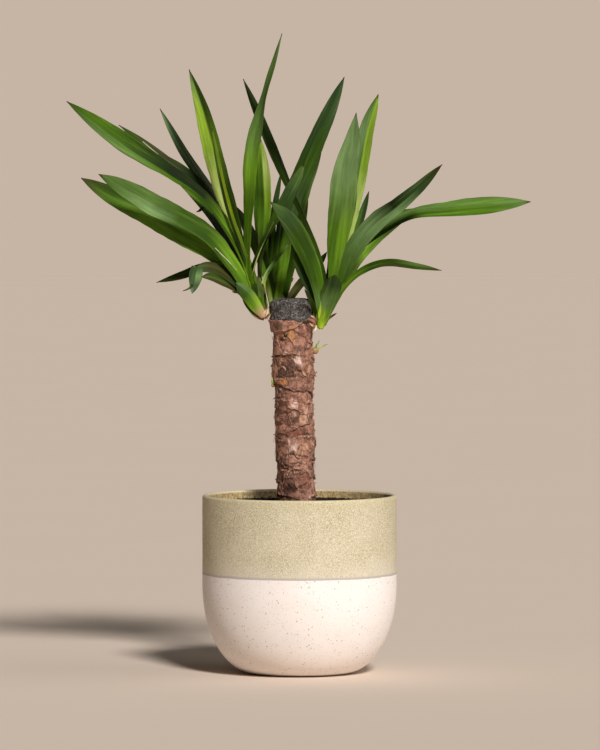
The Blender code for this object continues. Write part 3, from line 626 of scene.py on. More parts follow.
def bark_finish():
    """Papery pinkish brown sheets, dark tears partly as painted shade, patches of other tones, painted
    sheen.
    """
    bark = Finish("bark", Specular_IOR_Level=0.3)
    place, flat, tall = bark.place(), bark.place((1, 1, 2.2)), bark.place((1, 1, 0.28))
    crack, lip, sheet = bark.attribute("crack"), bark.attribute("lip"), bark.attribute("sheet")
    patch, shown = bark.attribute("patch", "Color"), bark.attribute("patch", "Alpha")
    cloud, mottle = bark.noise(flat, 0.07, 4.0, 0.65), bark.noise(place, 0.24, 5.0, 0.72)
    fibres, skin = bark.noise(tall, 0.8, 4.0, 0.7), bark.noise(place, 1.1, 3.0, 0.7)
    tone = sheet * 0.5 + cloud * 0.9 - 0.2
    # Painted sheen: pale pink streaks up the trunk stand in for the shine of the smooth papery bark.
    pale = bark.noise(tall, 0.16, 3.0, 0.6).rise(0.58, 0.68) * skin.rise(0.36, 0.56)
    # Lifted lips are painted paler, partly as torn pale edges and partly as painted light where they catch
    # it; tears are painted near black, partly as the tear's own dark and partly as painted shade under the
    # sheet.
    colour = bark.cover(
        bark.mix(tone.rise(0.15, 0.65), srgb(86, 54, 40), srgb(176, 124, 102)),
        (mottle.rise(0.52, 0.38) * 0.75, srgb(58, 36, 26)),
        (mottle.rise(0.54, 0.7) * 0.6, srgb(206, 160, 136)),
        (shown * (0.2 + fibres * 1.1), patch), (fibres.rise(0.5, 0.32) * 0.6, srgb(62, 38, 27)),
        (pale * 0.6, srgb(226, 184, 158)), (lip * fibres.rise(0.42, 0.58) * 0.8, srgb(222, 178, 146)),
        (crack * 0.7, srgb(36, 20, 13)))
    height = mottle * 0.6 + fibres * 0.5 + skin * 0.2 + sheet * 0.4
    roughness = 0.42 + mottle * 0.4
    return bark.end(Base_Color=colour, Roughness=roughness, Normal=bark.bump(height, 1.3, 0.9))


def flake_finish():
    """Thin dry scraps and fibres of bark, paler at random."""
    flake = Finish("bark_flake", Specular_IOR_Level=0.25)
    pale, grain = flake.attribute("pale"), flake.noise(flake.place(), 0.7, 3.0, 0.7)
    colour = flake.mix(pale, srgb(92, 58, 42), srgb(216, 168, 140))
    colour = flake.mix(grain.rise(0.56, 0.36) * 0.6, colour, srgb(76, 48, 36))
    return flake.end(Base_Color=colour, Roughness=0.7 + grain * 0.2, Normal=flake.bump(grain, 0.4, 0.7))


def wax_finish():
    """Charcoal sealing wax full of fine pale and dark grit."""
    wax = Finish("sealing_wax", Specular_IOR_Level=0.3)
    place = wax.place()
    grit, fine = wax.noise(place, 0.55, 3.0, 0.8), wax.noise(place, 1.5, 2.0, 0.8)
    cloud = wax.noise(place, 0.16, 3.0)
    colour = wax.cover(
        wax.mix(cloud.rise(0.35, 0.68), srgb(60, 55, 51), srgb(106, 99, 94)),
        ((grit * 0.6 + fine * 0.4).rise(0.53, 0.63) * 0.7, srgb(184, 177, 170)),
        (grit.rise(0.5, 0.4) * 0.85, srgb(24, 20, 18)))
    relief = wax.bump(grit + cloud * 0.5, 1.1, 0.9)
    return wax.end(Base_Color=colour, Roughness=0.5 + grit * 0.4, Normal=relief)


def heart_finish():
    """The fleshy heart of a shoot: yellow-green above, drying to pinkish brown where it leaves the trunk."""
    heart = Finish("shoot_heart", Specular_IOR_Level=0.3)
    up, streaks = heart.attribute("up"), heart.noise(heart.place((1, 1, 0.25)), 0.6, 3.0, 0.6)
    colour = heart.mix((up + streaks * 0.3).rise(0.3, 0.7), srgb(198, 142, 112), srgb(130, 160, 50))
    colour = heart.mix(streaks.rise(0.55, 0.35) * 0.6, colour, srgb(84, 64, 36))
    return heart.end(Base_Color=colour, Roughness=0.45 + streaks * 0.2, Normal=heart.bump(streaks, 0.6, 0.8))


def floor_finish():
    """Plain pale floor with a hardly visible mottle."""
    floor = Finish("studio_floor", Roughness=0.95, Specular_IOR_Level=0.0)
    cloud = floor.noise(floor.place(), 0.004, 2.0)
    return floor.end(Base_Color=floor.mix(cloud, FLOOR_COLOUR * 0.99, FLOOR_COLOUR * 1.01))


# Helpers for surfaces
def lattice_noise(points, seed):
    """Smooth noise from -1 to 1: random values at whole-number corners, blended by smooth steps."""
    cell = np.floor(points).astype(np.int64)
    share = points - cell
    share = share * share * (3 - 2 * share)
    total = np.zeros(points.shape[:-1])
    for corner in np.ndindex(2, 2, 2):
        spot = (cell + corner) @ np.array([73856093, 19349663, 83492791]) + seed * 26544357
        spot = (spot ^ (spot >> 13)) * 1274126177 & 0x7FFFFFFF
        value = (spot ^ (spot >> 15)) / 2.0**30 - 1
        total += value * np.prod(np.where(corner, share, 1 - share), axis=-1)
    return total


def layered_noise(points, seed, layers=3):
    """Sum of noises, each twice as fine and half as strong as the one before."""
    return sum(lattice_noise(points * 2**k, seed + k) / 2**k for k in range(layers))


def grid_faces(rows, columns):
    """Quads of a grid closed round its columns, and triangles from its end rows to the two poles after it.

    With rows running up and columns turning from +X to +Y, every face points outwards.
    """
    row, column = np.meshgrid(np.arange(rows - 1), np.arange(columns), indexing="ij")
    here, beside = row * columns + column, row * columns + (column + 1) % columns
    quads = np.stack([here, beside, beside + columns, here + columns], axis=-1).reshape(-1, 4)
    around = np.arange(columns)
    after = (around + 1) % columns
    last = (rows - 1) * columns
    first_pole, last_pole = np.full(columns, rows * columns), np.full(columns, rows * columns + 1)
    first_end = np.stack([first_pole, after, around], -1)
    last_end = np.stack([last_pole, around + last, after + last], -1)
    return quads, np.concatenate([first_end, last_end])


def with_poles(values):
    """Values on grids, (copies, rows, columns, ...), listed grid by grid, each followed by its two poles."""
    ends = values[:, [0, -1]].mean(axis=2)
    listed = values.reshape(values.shape[0], -1, *values.shape[3:])
    return np.concatenate([listed, ends], axis=1).reshape(-1, *values.shape[3:])


def add_object(name, data, facing=None):
    """A new object in the scene, turned so that its own +Z points along facing."""
    made = bpy.data.objects.new(name, data)
    bpy.context.scene.collection.objects.link(made)
    if facing is not None:
        made.rotation_mode = "QUATERNION"
        made.rotation_quaternion = facing.to_track_quat("Z", "Y")
    return made


def add_piece(name, grids, material, slot, replaced=None, **looks):
    """One mesh from closed grids of points in millimetres, with looks as attributes of its points."""
    grids = np.asarray(grids, float)
    copies, rows, columns = grids.shape[:3]
    quads, triangles = grid_faces(rows, columns)
    shift = np.arange(copies)[:, None, None] * (rows * columns + 2)
    quads, triangles = (quads + shift).reshape(-1, 4), (triangles + shift).reshape(-1, 3)
    mesh = bpy.data.meshes.new(name)
    points = with_poles(grids) * MM
    mesh.vertices.add(len(points))
    mesh.vertices.foreach_set("co", points.astype(np.float32).ravel())
    corners = np.concatenate([quads.ravel(), triangles.ravel()])
    mesh.loops.add(len(corners))
    mesh.loops.foreach_set("vertex_index", corners.astype(np.int32))
    starts = np.concatenate([np.arange(len(quads)) * 4, quads.size + np.arange(len(triangles)) * 3])
    mesh.polygons.add(len(starts))
    mesh.polygons.foreach_set("loop_start", starts.astype(np.int32))
    mesh.update(calc_edges=True)
    mesh.shade_smooth()
    kinds = {1: ("FLOAT", "value"), 3: ("FLOAT_VECTOR", "vector"), 4: ("FLOAT_COLOR", "color")}
    for look, values in looks.items():
        values = with_poles(np.asarray(values, float))
        kind, field = kinds[values.shape[1] if values.ndim == 2 else 1]
        mesh.attributes.new(look, kind, "POINT").data.foreach_set(field, values.astype(np.float32).ravel())
    mesh.materials.append(material)
    piece = add_object(name, mesh)
    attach(piece, "root")
    if replaced:
        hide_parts(replaced)


def full_turn(steps):
    """Evenly spaced angles once round."""
    return np.linspace(0, 2 * math.pi, steps, endpoint=False)


def round_axis(radius, angle, z, middle_x=0.0):
    """Points at a radius, angle and height round the upright axis through middle_x."""
    places = np.broadcast_arrays(middle_x + radius * np.cos(angle), radius * np.sin(angle), z)
    return np.stack(places, axis=-1)


def turned(profile, columns):
    """A profile of (radius, z) carried round the upright axis."""
    radius, z = np.array(profile, float).T
    return round_axis(radius[:, None], full_turn(columns), z[:, None])


def unit_ball(rows, columns):
    """Rows of points from near the bottom of a ball of radius 1 to near its top."""
    tilt = np.linspace(0, math.pi, rows + 2)[1:-1, None]
    return round_axis(np.sin(tilt), full_turn(columns), -np.cos(tilt))


def spaced(points, count):
    """Points at even distances along the straight pieces between the given ones."""
    points = np.array(points, float)
    lengths = np.concatenate([[0], np.cumsum(np.linalg.norm(np.diff(points, axis=0), axis=1))])
    spots = np.linspace(0, lengths[-1], count)
    return np.stack([np.interp(spots, lengths, points[:, k]) for k in range(points.shape[1])], axis=1)


def along(values, shares):
    """A smooth curve through evenly spaced values, read at shares of its length from 0 to 1."""
    values = np.asarray(values if len(values) > 1 else 2 * list(values), float)
    padded = np.concatenate([[2 * values[0] - values[1]], values, [2 * values[-1] - values[-2]]])
    place = np.clip(shares, 0, 1) * (len(values) - 1)
    span = np.minimum(place.astype(int), len(values) - 2)
    u = (place - span).reshape((-1,) + (1,) * (values.ndim - 1))
    a, b, c, d = (padded[span + k] for k in range(4))
    return 0.5 * (2 * b + (c - a) * u + (2 * a - 5 * b + 4 * c - d) * u**2 + (3 * b - a - 3 * c + d) * u**3)


# The pot and its soil
def bowl(reach, foot, top, steps):
    """A quarter of an ellipse from the foot out and up to the wall."""
    turn = np.linspace(0, math.pi / 2, steps)
    return np.stack([BASE_RADIUS + reach * np.sin(turn), foot + (top - foot) * (1 - np.cos(turn))], axis=1)


def make_pot():
    """Base, bowl, upright band, rounded lip, and the same back down inside to the floor."""
    reach = POT_RADIUS - BASE_RADIUS
    turn = np.linspace(0, math.pi, LIP_POINTS)
    lip = np.stack([POT_RADIUS - POT_WALL / 2 + POT_WALL / 2 * np.cos(turn),
                    POT_HEIGHT - LIP_ROUND + LIP_ROUND * np.sin(turn)], axis=1)
    base = [(0.6 * BASE_RADIUS, 0), (0.98 * BASE_RADIUS, 0)]
    outer = spaced(np.concatenate([bowl(reach, 0, BOWL_HEIGHT, 60), lip[:1]]), OUTER_ROWS)
    hollow = bowl(reach - POT_WALL, POT_FLOOR, BOWL_HEIGHT, 40)[::-1]
    inner = spaced(np.concatenate([lip[-1:], hollow]), INNER_ROWS)
    profile = np.concatenate([base, outer, lip[1:-1], inner, [(0.5 * BASE_RADIUS, POT_FLOOR)]])
    grid = turned(profile, POT_COLUMNS)
    uneven = 0.12 * layered_noise(grid * 0.03, 11)
    radial = grid * [1, 1, 0]
    radial /= np.maximum(np.linalg.norm(radial, axis=-1, keepdims=True), 1e-6)
    steady = (grid[..., 2] > 3) & (grid[..., 2] < POT_HEIGHT)
    grid -= radial * (np.abs(uneven) * steady)[..., None]
    inside = np.zeros(grid.shape[:2])
    inside[-len(inner) - 1:] = 1
    add_piece("stoneware_pot", grid[None], glaze_finish(), "stoneware", "pot", inside=inside[None])


def soil_height(x, y):
    """Low mounds and crumbly grains on the soil's level."""
    spots = np.stack([x, y, np.zeros_like(x)], axis=-1)
    mounds, grains = layered_noise(spots * 0.045, 21), layered_noise(spots * 0.35, 22)
    return SOIL_TOP - SOIL_DIP + MOUND_HEIGHT * mounds + GRAIN_HEIGHT * grains


def make_soil():
    """The pot's filling: its hidden bowl-shaped side, then a crumbly top."""
    wall = POT_RADIUS - POT_WALL - SOIL_GAP
    foot = POT_FLOOR + 0.6
    side = bowl(POT_RADIUS - POT_WALL - BASE_RADIUS - 0.3, foot, BOWL_HEIGHT, SIDE_ROWS) - [SOIL_GAP, 0]
    top = np.stack([np.linspace(wall, 1.0, CRUST_ROWS), np.full(CRUST_ROWS, SOIL_TOP)], axis=1)
    grid = turned(np.concatenate([[(20, foot)], side, top]), SOIL_COLUMNS)
    crust = grid[SIDE_ROWS + 1:]
    crust[..., 2] = np.minimum(soil_height(crust[..., 0], crust[..., 1]), SOIL_TOP + 0.6)
    finish = soil_finish()
    add_piece("potting_soil", grid[None], finish, "soil", "soil")
    rng = np.random.default_rng(5)
    reach = wall * np.sqrt(rng.uniform(0.07, 0.94, CRUMBS))
    angle = rng.uniform(0, 2 * math.pi, CRUMBS)
    x, y = reach * np.cos(angle), reach * np.sin(angle)
    size = rng.gamma(3.0, 0.42, CRUMBS).clip(0.5, 3.2)
    crumbs = pebbles(rng, CRUMBS, *CRUMB_SHAPE) * size[:, None, None, None] * [1.2, 1.0, 0.75]
    crumbs += np.stack([x, y, soil_height(x, y) + 0.3 * size], axis=-1)[:, None, None, :]
    crumbs[..., 2] = np.minimum(crumbs[..., 2], SOIL_TOP + 1.2)
    add_piece("soil_crumbs", crumbs, finish, "soil")


def pebbles(rng, count, rows, columns):
    """Unit balls, each point of them pushed in or out at random."""
    return unit_ball(rows, columns) * rng.uniform(0.7, 1.15, (count, rows, columns, 1))


# The trunk and its wax
def trunk_x(z):
    """The trunk stands upright in the soil and leans left above it."""
    return TRUNK_X + TRUNK_LEAN * np.maximum(0.0, z - SOIL_TOP)


def trunk_radius(z):
    """A slight taper outwards to the top, with a flare below the wax."""
    share = np.clip((z - SOIL_TOP) / (WAX_BOTTOM - SOIL_TOP), 0, 1)
    return TRUNK_RADIUS + TRUNK_TAPER * share + TRUNK_FLARE * share**12


def bark_between(angle, middle):
    """The distance round the bark from a middle angle, going the nearer way."""
    return BARK_SPREAD * ((angle - middle + math.pi) % (2 * math.pi) - math.pi)


def bark_relief(angle, z):
    """The bark's height over the plain trunk, how much of a tear and a lifted lip is there, and its sheet.

    Seeds are strewn over the unrolled trunk, and each place belongs to the nearest one, over distances that
    are bent by noise and count double up the trunk. That splits the bark in wide ragged sheets. A sheet
    tilts a little, dips in a tear where its edge is close, and lifts in a lip along its lower edge. The
    finish paints the tears dark, partly as painted shade under the sheets, and the lips paler, partly as
    painted light.
    The old leaf rings add a few faint lines that come and go.
    """
    spots = round_axis(BARK_SPREAD, angle, z)
    bend = [3.2 * layered_noise(spots * 0.09, seed) for seed in (31, 35)]
    rng = np.random.default_rng(9)
    seed_angle = rng.uniform(0, 2 * math.pi, BARK_PLATES)
    seed_z = rng.uniform(SOIL_TOP - 9, WAX_BOTTOM + 6, BARK_PLATES)
    level, slope = rng.uniform(0, 1, BARK_PLATES), rng.normal(0, 0.035, BARK_PLATES)
    near, second = np.full(z.shape, 1e9), np.full(z.shape, 1e9)
    sheet, drop = np.zeros(z.shape), np.zeros(z.shape)
    for k in range(BARK_PLATES):
        around = bark_between(angle, seed_angle[k]) + bend[0]
        up = z - seed_z[k] + bend[1]
        away = np.sqrt(around**2 + (2 * up) ** 2)
        closer = away < near
        second = np.where(closer, near, np.minimum(second, away))
        sheet = np.where(closer, level[k], sheet)
        drop = np.where(closer, slope[k] * around - SHEET_TILT * up, drop)
        near = np.where(closer, away, near)
    border = second - near
    strength = np.clip(0.9 * layered_noise(spots * 0.12, 40), 0, 0.85)
    crack = strength * np.exp(-((border / TEAR_WIDTH) ** 2))
    lip = np.clip(drop, 0, 1) * strength * np.exp(-(((border - 2.2) / 1.6) ** 2))
    for number, ring in enumerate(BARK_RINGS):
        tilt = 3.2 * np.sin(angle + 2.1 * number) + 1.5 * np.sin(3 * angle + number) + 0.5 * bend[0]
        away, shown = z + tilt - ring, np.clip(0.2 + 1.1 * layered_noise(spots * 0.09, 50 + number), 0, 1)
        crack += 0.8 * shown * np.exp(-((away / RING_WIDTH) ** 2))
        lip += 0.9 * shown * np.exp(-(((away + 1.7) / 1.0) ** 2))
    crack, lip = np.clip(crack, 0, 1), np.clip(lip, 0, 1)
    lumps = 0.6 * np.sin(2 * angle + 0.09 * z) + 1.1 * layered_noise(spots * 0.08, 71)
    neck = np.clip((z - NECK_FOOT) / (WAX_BOTTOM - NECK_FOOT), 0, 1)
    lumps += NECK_BULGE * np.exp(-(((angle - NECK_ANGLE) / NECK_SPREAD) ** 2)) * neck**2
    fibres = FIBRE_HEIGHT * layered_noise(spots * [0.5, 0.5, 0.35], 81)
    height = lumps + fibres + SHEET_STEP * sheet + drop - TEAR_DEPTH * crack + LIP_HEIGHT * lip - 0.3
    return height, crack, lip, sheet


def bark_patches(angle, z):
    """The colour of the patch at each place, and how much of it shows. Its edge is bent by noise.

    The listed patches are on the front. More of the same kinds are strewn over the other sides.
    """
    rng = np.random.default_rng(23)
    kinds = list(BARK_LOOKS)
    strewn = [
        (rng.uniform(70, 290), rng.uniform(SOIL_TOP, WAX_BOTTOM), rng.uniform(3, 10), rng.uniform(2, 9),
         rng.normal(0, 0.15), kinds[rng.integers(len(kinds))])
        for _ in range(UNSEEN_PATCHES)
    ]
    spots = round_axis(BARK_SPREAD, angle, z)
    ragged = 0.4 * layered_noise(spots * [0.3, 0.3, 0.14], 91, 4)
    colour, shown = np.zeros(z.shape + (3,)), np.zeros(z.shape)
    for degrees, height, half_width, half_height, slant, kind in BARK_PATCHES + strewn:
        around = bark_between(angle, math.radians(degrees - 90))
        up = z - height
        away = np.sqrt(((around - slant * up) / half_width) ** 2 + (up / half_height) ** 2)
        weight = np.clip(1.5 * (1.1 - away + ragged), 0, 1)
        colour = colour * (1 - weight)[..., None] + srgb(*BARK_LOOKS[kind]) * weight[..., None]
        shown = np.maximum(shown, weight)
    return np.concatenate([colour, shown[..., None]], axis=-1)


def make_trunk():
    """A plain foot in the soil, then rows of bark up to just inside the wax, closed flat there."""
    low, high = SOIL_TOP - 6, WAX_BOTTOM + 0.8
    heights = np.concatenate([np.linspace(TRUNK_FOOT, low - 4, 4), np.linspace(low, high, TRUNK_ROWS)])
    angle, z = np.meshgrid(full_turn(TRUNK_COLUMNS), heights)
    relief, crack, lip, sheet = bark_relief(angle, z)
    fade = np.clip((z - low) / 4, 0, 1)
    grid = round_axis(trunk_radius(z) + relief * fade, angle, z, trunk_x(z))
    add_piece("bark_trunk", grid[None], bark_finish(), "bark", "trunk",
              crack=(crack * fade)[None], lip=(lip * fade)[None], sheet=sheet[None],
              patch=bark_patches(angle, z)[None])
    finish = flake_finish()
    for name, settings in LOOSE_BARK.items():
        add_scraps(name, finish, *settings)


def add_scraps(name, finish, count, lengths, widths, lifts, slope, seed):
    """Thin bent ovals of dry bark that hug the trunk, each with a lifted end, mostly near the rings."""
    rng = np.random.default_rng(seed)
    rows, columns = SCRAP_SHAPE

    def pick(ends):
        return rng.uniform(*ends, count)[:, None, None]

    ring = (rng.choice(BARK_RINGS, count) + rng.normal(0, RING_SPREAD, count))[:, None, None]
    angle, slant = pick((0, 2 * math.pi)), rng.normal(0, slope, count)[:, None, None]
    length, width, lift = pick(lengths), pick(widths), pick(lifts)
    share = np.linspace(0, 1, rows)[None, :, None]
    turn = full_turn(columns)[None, None, :]
    across = np.cos(turn) * np.sqrt(np.sin(math.pi * (0.06 + 0.88 * share)))
    along_it = length * (share - 0.5)
    theta = angle + along_it * np.cos(slant) / SCRAP_SPREAD
    theta = theta - across * np.sin(slant) * width / (2 * SCRAP_SPREAD)
    z = ring + width * 0.5 * across * np.cos(slant) + along_it * np.sin(slant)
    z = z + pick((-2, 2)) * (2 * share - 1) ** 2
    z = np.clip(z, SOIL_TOP + 1, WAX_BOTTOM - 1)
    out = 0.3 + lift * (2 * share - 0.7) ** 2 * np.where(share > 0.35, 1, 0.25) + 0.16 * np.sin(turn)
    base = trunk_radius(z) + bark_relief(theta % (2 * math.pi), z)[0].clip(-0.6, 2) + out
    grid = round_axis(base, theta, z, trunk_x(z))
    add_piece(name, grid, finish, "bark", pale=pick((0, 1)) + np.zeros(grid.shape[:3]))


def make_wax():
    """A cup of rough wax upside down over the cut, with a wandering lower edge and a rounded shoulder."""
    turn = np.linspace(0, math.pi / 2, 10)
    shoulder = np.stack([WAX_RADIUS - 1.5 * WAX_ROUND * (1 - np.cos(turn) ** WAX_SQUARENESS),
                         WAX_TOP - WAX_ROUND * (1 - np.sin(turn) ** WAX_SQUARENESS)], axis=1)
    inner, ceiling = WAX_RADIUS - WAX_COAT, WAX_TOP - WAX_COAT
    inside = [(4, ceiling), (inner - 5, ceiling), (inner, ceiling - 5), (inner, WAX_BOTTOM)]
    edge = [(WAX_RADIUS - 0.4, WAX_BOTTOM), (WAX_RADIUS, WAX_BOTTOM + 0.6)]
    outside = spaced(np.concatenate([edge, shoulder, [(0.5, WAX_TOP)]]), WAX_ROWS)
    grid = turned(np.concatenate([inside, outside]), WAX_COLUMNS)
    outer = grid[len(inside):]
    grit = GRIT_HEIGHT * layered_noise(outer * 0.55, 91) + WAX_LUMPS * layered_noise(outer * 0.12, 95)
    grit = np.minimum(grit, 0.15)
    level = np.clip((outer[..., 2] - WAX_BOTTOM) / (WAX_TOP - WAX_BOTTOM), 0, 1)
    reach = np.linalg.norm(outer[..., :2], axis=-1)
    outward = outer * [1, 1, 0] / np.maximum(reach, 1e-6)[..., None]
    outer += outward * (grit * np.clip((reach - 12) / 8, 0, 1))[..., None]
    outer[..., 2] += grit * level**2
    angle = np.arctan2(outer[..., 1], outer[..., 0])
    hang = 0.5 * np.sin(3 * angle + 1) + 0.35 * np.sin(7 * angle) + 0.3 * np.sin(13 * angle + 2)
    outer[..., 2] += hang * np.clip(1 - 4 * level, 0, 1) ** 2
    grid[..., 0] += trunk_x(grid[..., 2]) + WAX_SHIFT
    add_piece("wax_seal", grid[None], wax_finish(), "wax", "wax_cap")


# The leaves
def routes(leaves, rows):
    """Evenly spaced points along the smooth curve through each leaf's route, as (leaves, rows, 3)."""
    paths = []
    for points, *_ in leaves:
        fine = along(points, np.linspace(0, 1, 40 * len(points)))
        paths.append(spaced(fine, rows))
    return np.array(paths)


def directions(paths, turns):
    """Side and front directions along routes.

    The side starts square to BACK, is carried along without a twist, then turned by an angle in degrees.
    """
    ahead = np.gradient(paths, axis=1)
    ahead /= np.linalg.norm(ahead, axis=-1, keepdims=True)
    side = np.cross(BACK, ahead[:, 0])
    sides = []
    for row in range(paths.shape[1]):
        side = side - ahead[:, row] * (side * ahead[:, row]).sum(-1, keepdims=True)
        side = side / np.linalg.norm(side, axis=-1, keepdims=True)
        sides.append(side)
    sides = np.stack(sides, axis=1)
    fronts = np.cross(sides, ahead)
    turns = np.radians(turns)[..., None]
    sides = sides * np.cos(turns) + fronts * np.sin(turns)
    return sides, np.cross(sides, ahead)


def blades(leaves, seed, rows=BLADE_ROWS):
    """Grids and looks for a list of leaves.

    A row is a loop round the blade: across its front face from left to right, and back across the other.
    A point of it is the route + side x half width x u + front x (fold + ripple + half the thickness), where
    u goes from -1 to 1, the fold is deepest at the midrib, and the ripple grows with the cube of u.
    """
    rng = np.random.default_rng(seed)
    shares = np.linspace(0, 1, rows)
    paths = routes(leaves, rows)
    sides, fronts = directions(paths, np.array([along(leaf[2], shares) for leaf in leaves]))
    widths = np.array([along(leaf[1], shares) for leaf in leaves]) * (1 - shares**TIP_SHARPNESS)
    reach = np.linalg.norm(np.diff(paths, axis=1), axis=-1).sum(axis=1)[:, None] * shares
    halves = np.maximum(widths, TIP_WIDTH) / 2
    folds = np.radians([leaf[3] for leaf in leaves])[:, None]
    u = np.sin(np.linspace(-math.pi / 2, math.pi / 2, FACE_POINTS))
    u = np.concatenate([u, u[::-1]])[None, None, :]
    face = np.repeat([0.5, -0.5], FACE_POINTS)[None, None, :]
    thick = BLADE_THICKNESS + (ROOT_THICKNESS - BLADE_THICKNESS) * np.maximum(0, 1 - shares * ROOT_TAPER)
    thick = thick[None, :, None] * (1 - u**2) + EDGE_THICKNESS * u**2
    thick = np.minimum(thick, 1.6 * halves[..., None])
    phase = rng.uniform(0, 2 * math.pi, (len(leaves), 1, 8))
    wave = [sum(strength * np.sin(reach / length + phase[..., first + k])
                for k, (length, strength) in enumerate(WAVES)) for first in (0, 2, 4, 5)]
    swell = np.sin(math.pi * np.clip(shares * 1.1 - 0.05, 0, 1))
    waist = np.where(u < 0, wave[0][..., None], wave[1][..., None]) * (OUTLINE_WAVE * swell)[None, :, None]
    halves = halves[..., None] * (1 + waist)
    drop = halves * np.tan(folds)[..., None] * (1 - np.sqrt(u**2 + CREASE)) / (1 - math.sqrt(CREASE))
    ripple = np.where(u < 0, wave[2][..., None], wave[3][..., None]) * np.abs(u) ** 3
    lift = thick * face - drop + EDGE_RIPPLE * halves * swell[None, :, None] * ripple
    across = sides[:, :, None] * (halves * u)[..., None]
    spots = paths[:, :, None] + across + fronts[:, :, None] * lift[..., None]
    nothing = np.zeros_like(lift)
    number = np.arange(len(leaves))[:, None, None] + nothing
    blade = [halves * u + nothing, reach[..., None] + nothing, number * 3.7 + 9 * face]
    looks = {
        "blade": np.stack(blade, axis=-1),
        "edge": halves * (1 - np.abs(u)) + nothing,
        "tip": (reach[:, -1:] - reach)[..., None] + nothing,
    }
    # Each half's greens at even steps, partly the leaf's own colour and partly painted light and shade.
    for look, place in (("left_green_and_painted_light", 4), ("right_green_and_painted_light", 5)):
        green = np.array([tones(leaf[place], shares) for leaf in leaves])[:, :, None] + nothing[..., None]
        looks[look] = np.concatenate([green, np.ones_like(green[..., :1])], axis=-1)
    return spots, looks


def tones(letters, shares):
    """The greens that the letters name, blended at even steps."""
    greens = np.array([LEAF_TONES_AND_PAINTED_LIGHT[letter] for letter in letters])
    steps = np.linspace(0, 1, len(greens))
    return np.stack([np.interp(shares, steps, greens[:, k]) for k in range(3)], axis=1)


def make_shoot(node, heart, neck_end, leaves, scraps, finish, heart_finished, seed):
    """One head of leaves, and the fleshy heart they grow from."""
    spots, looks = blades(list(leaves.values()), seed)
    add_piece(node.replace("shoot", "leaves"), spots, finish, "leaf", node, **looks)
    if scraps:
        spots, looks = blades(list(scraps.values()), seed + 50, SHEATH_ROWS)
        looks["tip"] = looks["tip"] + FAR
        add_piece(node.replace("shoot", "sheaths"), spots, finish, "leaf", **looks)
    heart, neck_end = np.array(heart, float), np.array(neck_end, float)
    inward = (neck_end - heart) / np.linalg.norm(neck_end - heart)
    path = [neck_end + 5 * inward, neck_end, (heart + neck_end) / 2 - [0, 0, 1], heart, heart + [0, 0, 8],
            heart + [0, 0, 15]]
    rows, columns = HEART_SHAPE
    shares, turn = np.linspace(0, 1, rows), full_turn(columns)
    middle, radius = along(path, shares), along(HEART_RADII, shares)
    sides, fronts = directions(middle[None], np.zeros((1, rows)))
    outward = fronts[0][:, None] * np.cos(turn)[:, None] + sides[0][:, None] * np.sin(turn)[:, None]
    ribs = 1 + 0.06 * np.sin(6 * turn + 5 * shares[:, None])
    grid = middle[:, None] + outward * (radius[:, None] * ribs)[..., None]
    add_piece(node.replace("shoot", "heart"), grid[None], heart_finished, "leaf",
              up=np.broadcast_to(shares[:, None], grid.shape[:2])[None])


def make_buds(finish, heart_finished):
    """Side buds: a knob sunk in the bark, and a few small blades."""
    for number, (name, (root, tips, knob, ripe, greens)) in enumerate(BUDS.items()):
        root = np.array(root, float)
        shape = [([root, (root + tip) / 2 + [0, -0.8, 0.4], tip], BUD_WIDTHS, BUD_TURNS, BUD_FOLD,
                  greens, greens) for tip in np.array(tips, float)]
        spots, looks = blades(shape, 100 + number, BUD_ROWS)
        looks["tip"] = looks["tip"] + FAR
        add_piece(name + "_blades", spots, finish, "sprout", name, **looks)
        ball = pebbles(np.random.default_rng(200 + number), 1, *KNOB_SHAPE)
        ball = 1 + (np.linalg.norm(ball, axis=-1, keepdims=True) - 1) * 0.25
        unit = unit_ball(*KNOB_SHAPE)
        grid = root + unit * knob * ball
        add_piece(name + "_knob", grid, heart_finished, "sprout",
                  up=np.broadcast_to(ripe + 0.3 * unit[..., 2], grid.shape[:3]))


# The stage
FLOOR_COLOUR = srgb(220, 202, 186)
FLOOR_RADII = [50, 500, 2000, 6000, 14000]
FLOOR_COLUMNS = 96
FLOOR_TOP = -0.2
FLOOR_FOOT = -2.0
BACKDROP_COLOUR = srgb(198, 181, 165)
SOFT_LIGHT = (0.05, 0.047, 0.043)
# Each light: its azimuth, its elevation, its strength and its spread.
LIGHTS = {"key_light": (19, 38, 3.4, 11), "side_fill": (80, 15, 0.85, 60)}
LIGHT_COLOUR = (1.0, 0.99, 0.975)
CAMERA_TARGET = Vector((0.0005, 0, 0.2911))
CAMERA_DISTANCE = 6.0
CAMERA_HEIGHT = 2.5
PHOTO_LONG_SIDE = 750
PIXELS_PER_METRE = 1024


def toward(azimuth, elevation):
    """The direction at an azimuth to the right of the front and an elevation above it, in degrees."""
    a, e = math.radians(azimuth), math.radians(elevation)
    return Vector((math.sin(a) * math.cos(e), -math.cos(a) * math.cos(e), math.sin(e)))


def add_sun(name, azimuth, elevation, strength, spread):
    """A distant soft light."""
    light = bpy.data.lights.new(name, "SUN")
    light.energy, light.angle, light.color = strength, math.radians(spread), LIGHT_COLOUR
    add_object(name, light, toward(azimuth, elevation))


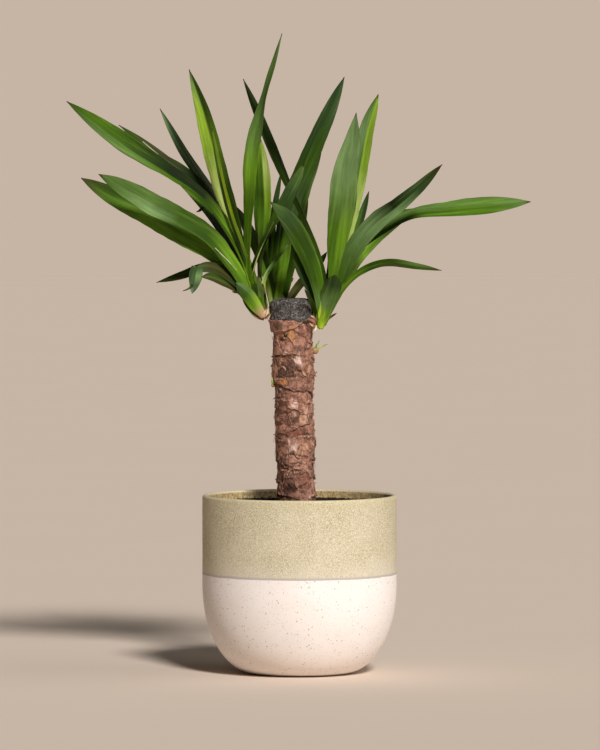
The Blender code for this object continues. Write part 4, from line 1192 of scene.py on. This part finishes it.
def make_stage():
    """A round pale floor, the lights, the pale surroundings and the camera."""
    profile = [(r, FLOOR_FOOT) for r in FLOOR_RADII] + [(r, FLOOR_TOP) for r in FLOOR_RADII[::-1]]
    floor = turned(profile, FLOOR_COLUMNS)
    mesh = bpy.data.meshes.new("studio_floor")
    quads, triangles = grid_faces(len(floor), FLOOR_COLUMNS)
    mesh.from_pydata((with_poles(floor[None]) * MM).tolist(), [], quads.tolist() + triangles.tolist())
    mesh.materials.append(floor_finish())
    ground = add_object("studio_floor", mesh)
    for name, settings in LIGHTS.items():
        add_sun(name, *settings)
    world = bpy.data.worlds.new("surroundings")
    bpy.context.scene.world = world
    world.use_nodes = True
    nodes, links = world.node_tree.nodes, world.node_tree.links
    seen, lit = nodes["Background"], nodes.new("ShaderNodeBackground")
    seen.inputs["Color"].default_value = (*BACKDROP_COLOUR, 1)
    lit.inputs["Color"].default_value = (*SOFT_LIGHT, 1)
    blend, path = nodes.new("ShaderNodeMixShader"), nodes.new("ShaderNodeLightPath")
    links.new(path.outputs["Is Camera Ray"], blend.inputs[0])
    links.new(lit.outputs[0], blend.inputs[1])
    links.new(seen.outputs[0], blend.inputs[2])
    links.new(blend.outputs[0], nodes["World Output"].inputs["Surface"])
    camera = bpy.data.cameras.new("photo_camera")
    camera.sensor_width = 36
    camera.lens = CAMERA_DISTANCE * PIXELS_PER_METRE / PHOTO_LONG_SIDE * camera.sensor_width
    camera.clip_end = 100
    back = toward(0, CAMERA_HEIGHT)
    view = add_object("photo_camera", camera, back)
    view.location = CAMERA_TARGET + back * CAMERA_DISTANCE
    bpy.context.scene.camera = view
    bpy.context.scene.view_settings.view_transform = "Standard"


def main():
    make_stage()
    make_pot()
    make_soil()
    make_trunk()
    make_wax()
    finish, heart_finished = leaf_finish(), heart_finish()
    for number, (node, shoot) in enumerate(SHOOTS.items()):
        make_shoot(node, *shoot, finish, heart_finished, 300 + number)
    make_buds(finish, heart_finished)


main()
bpy.context.view_layer.update()
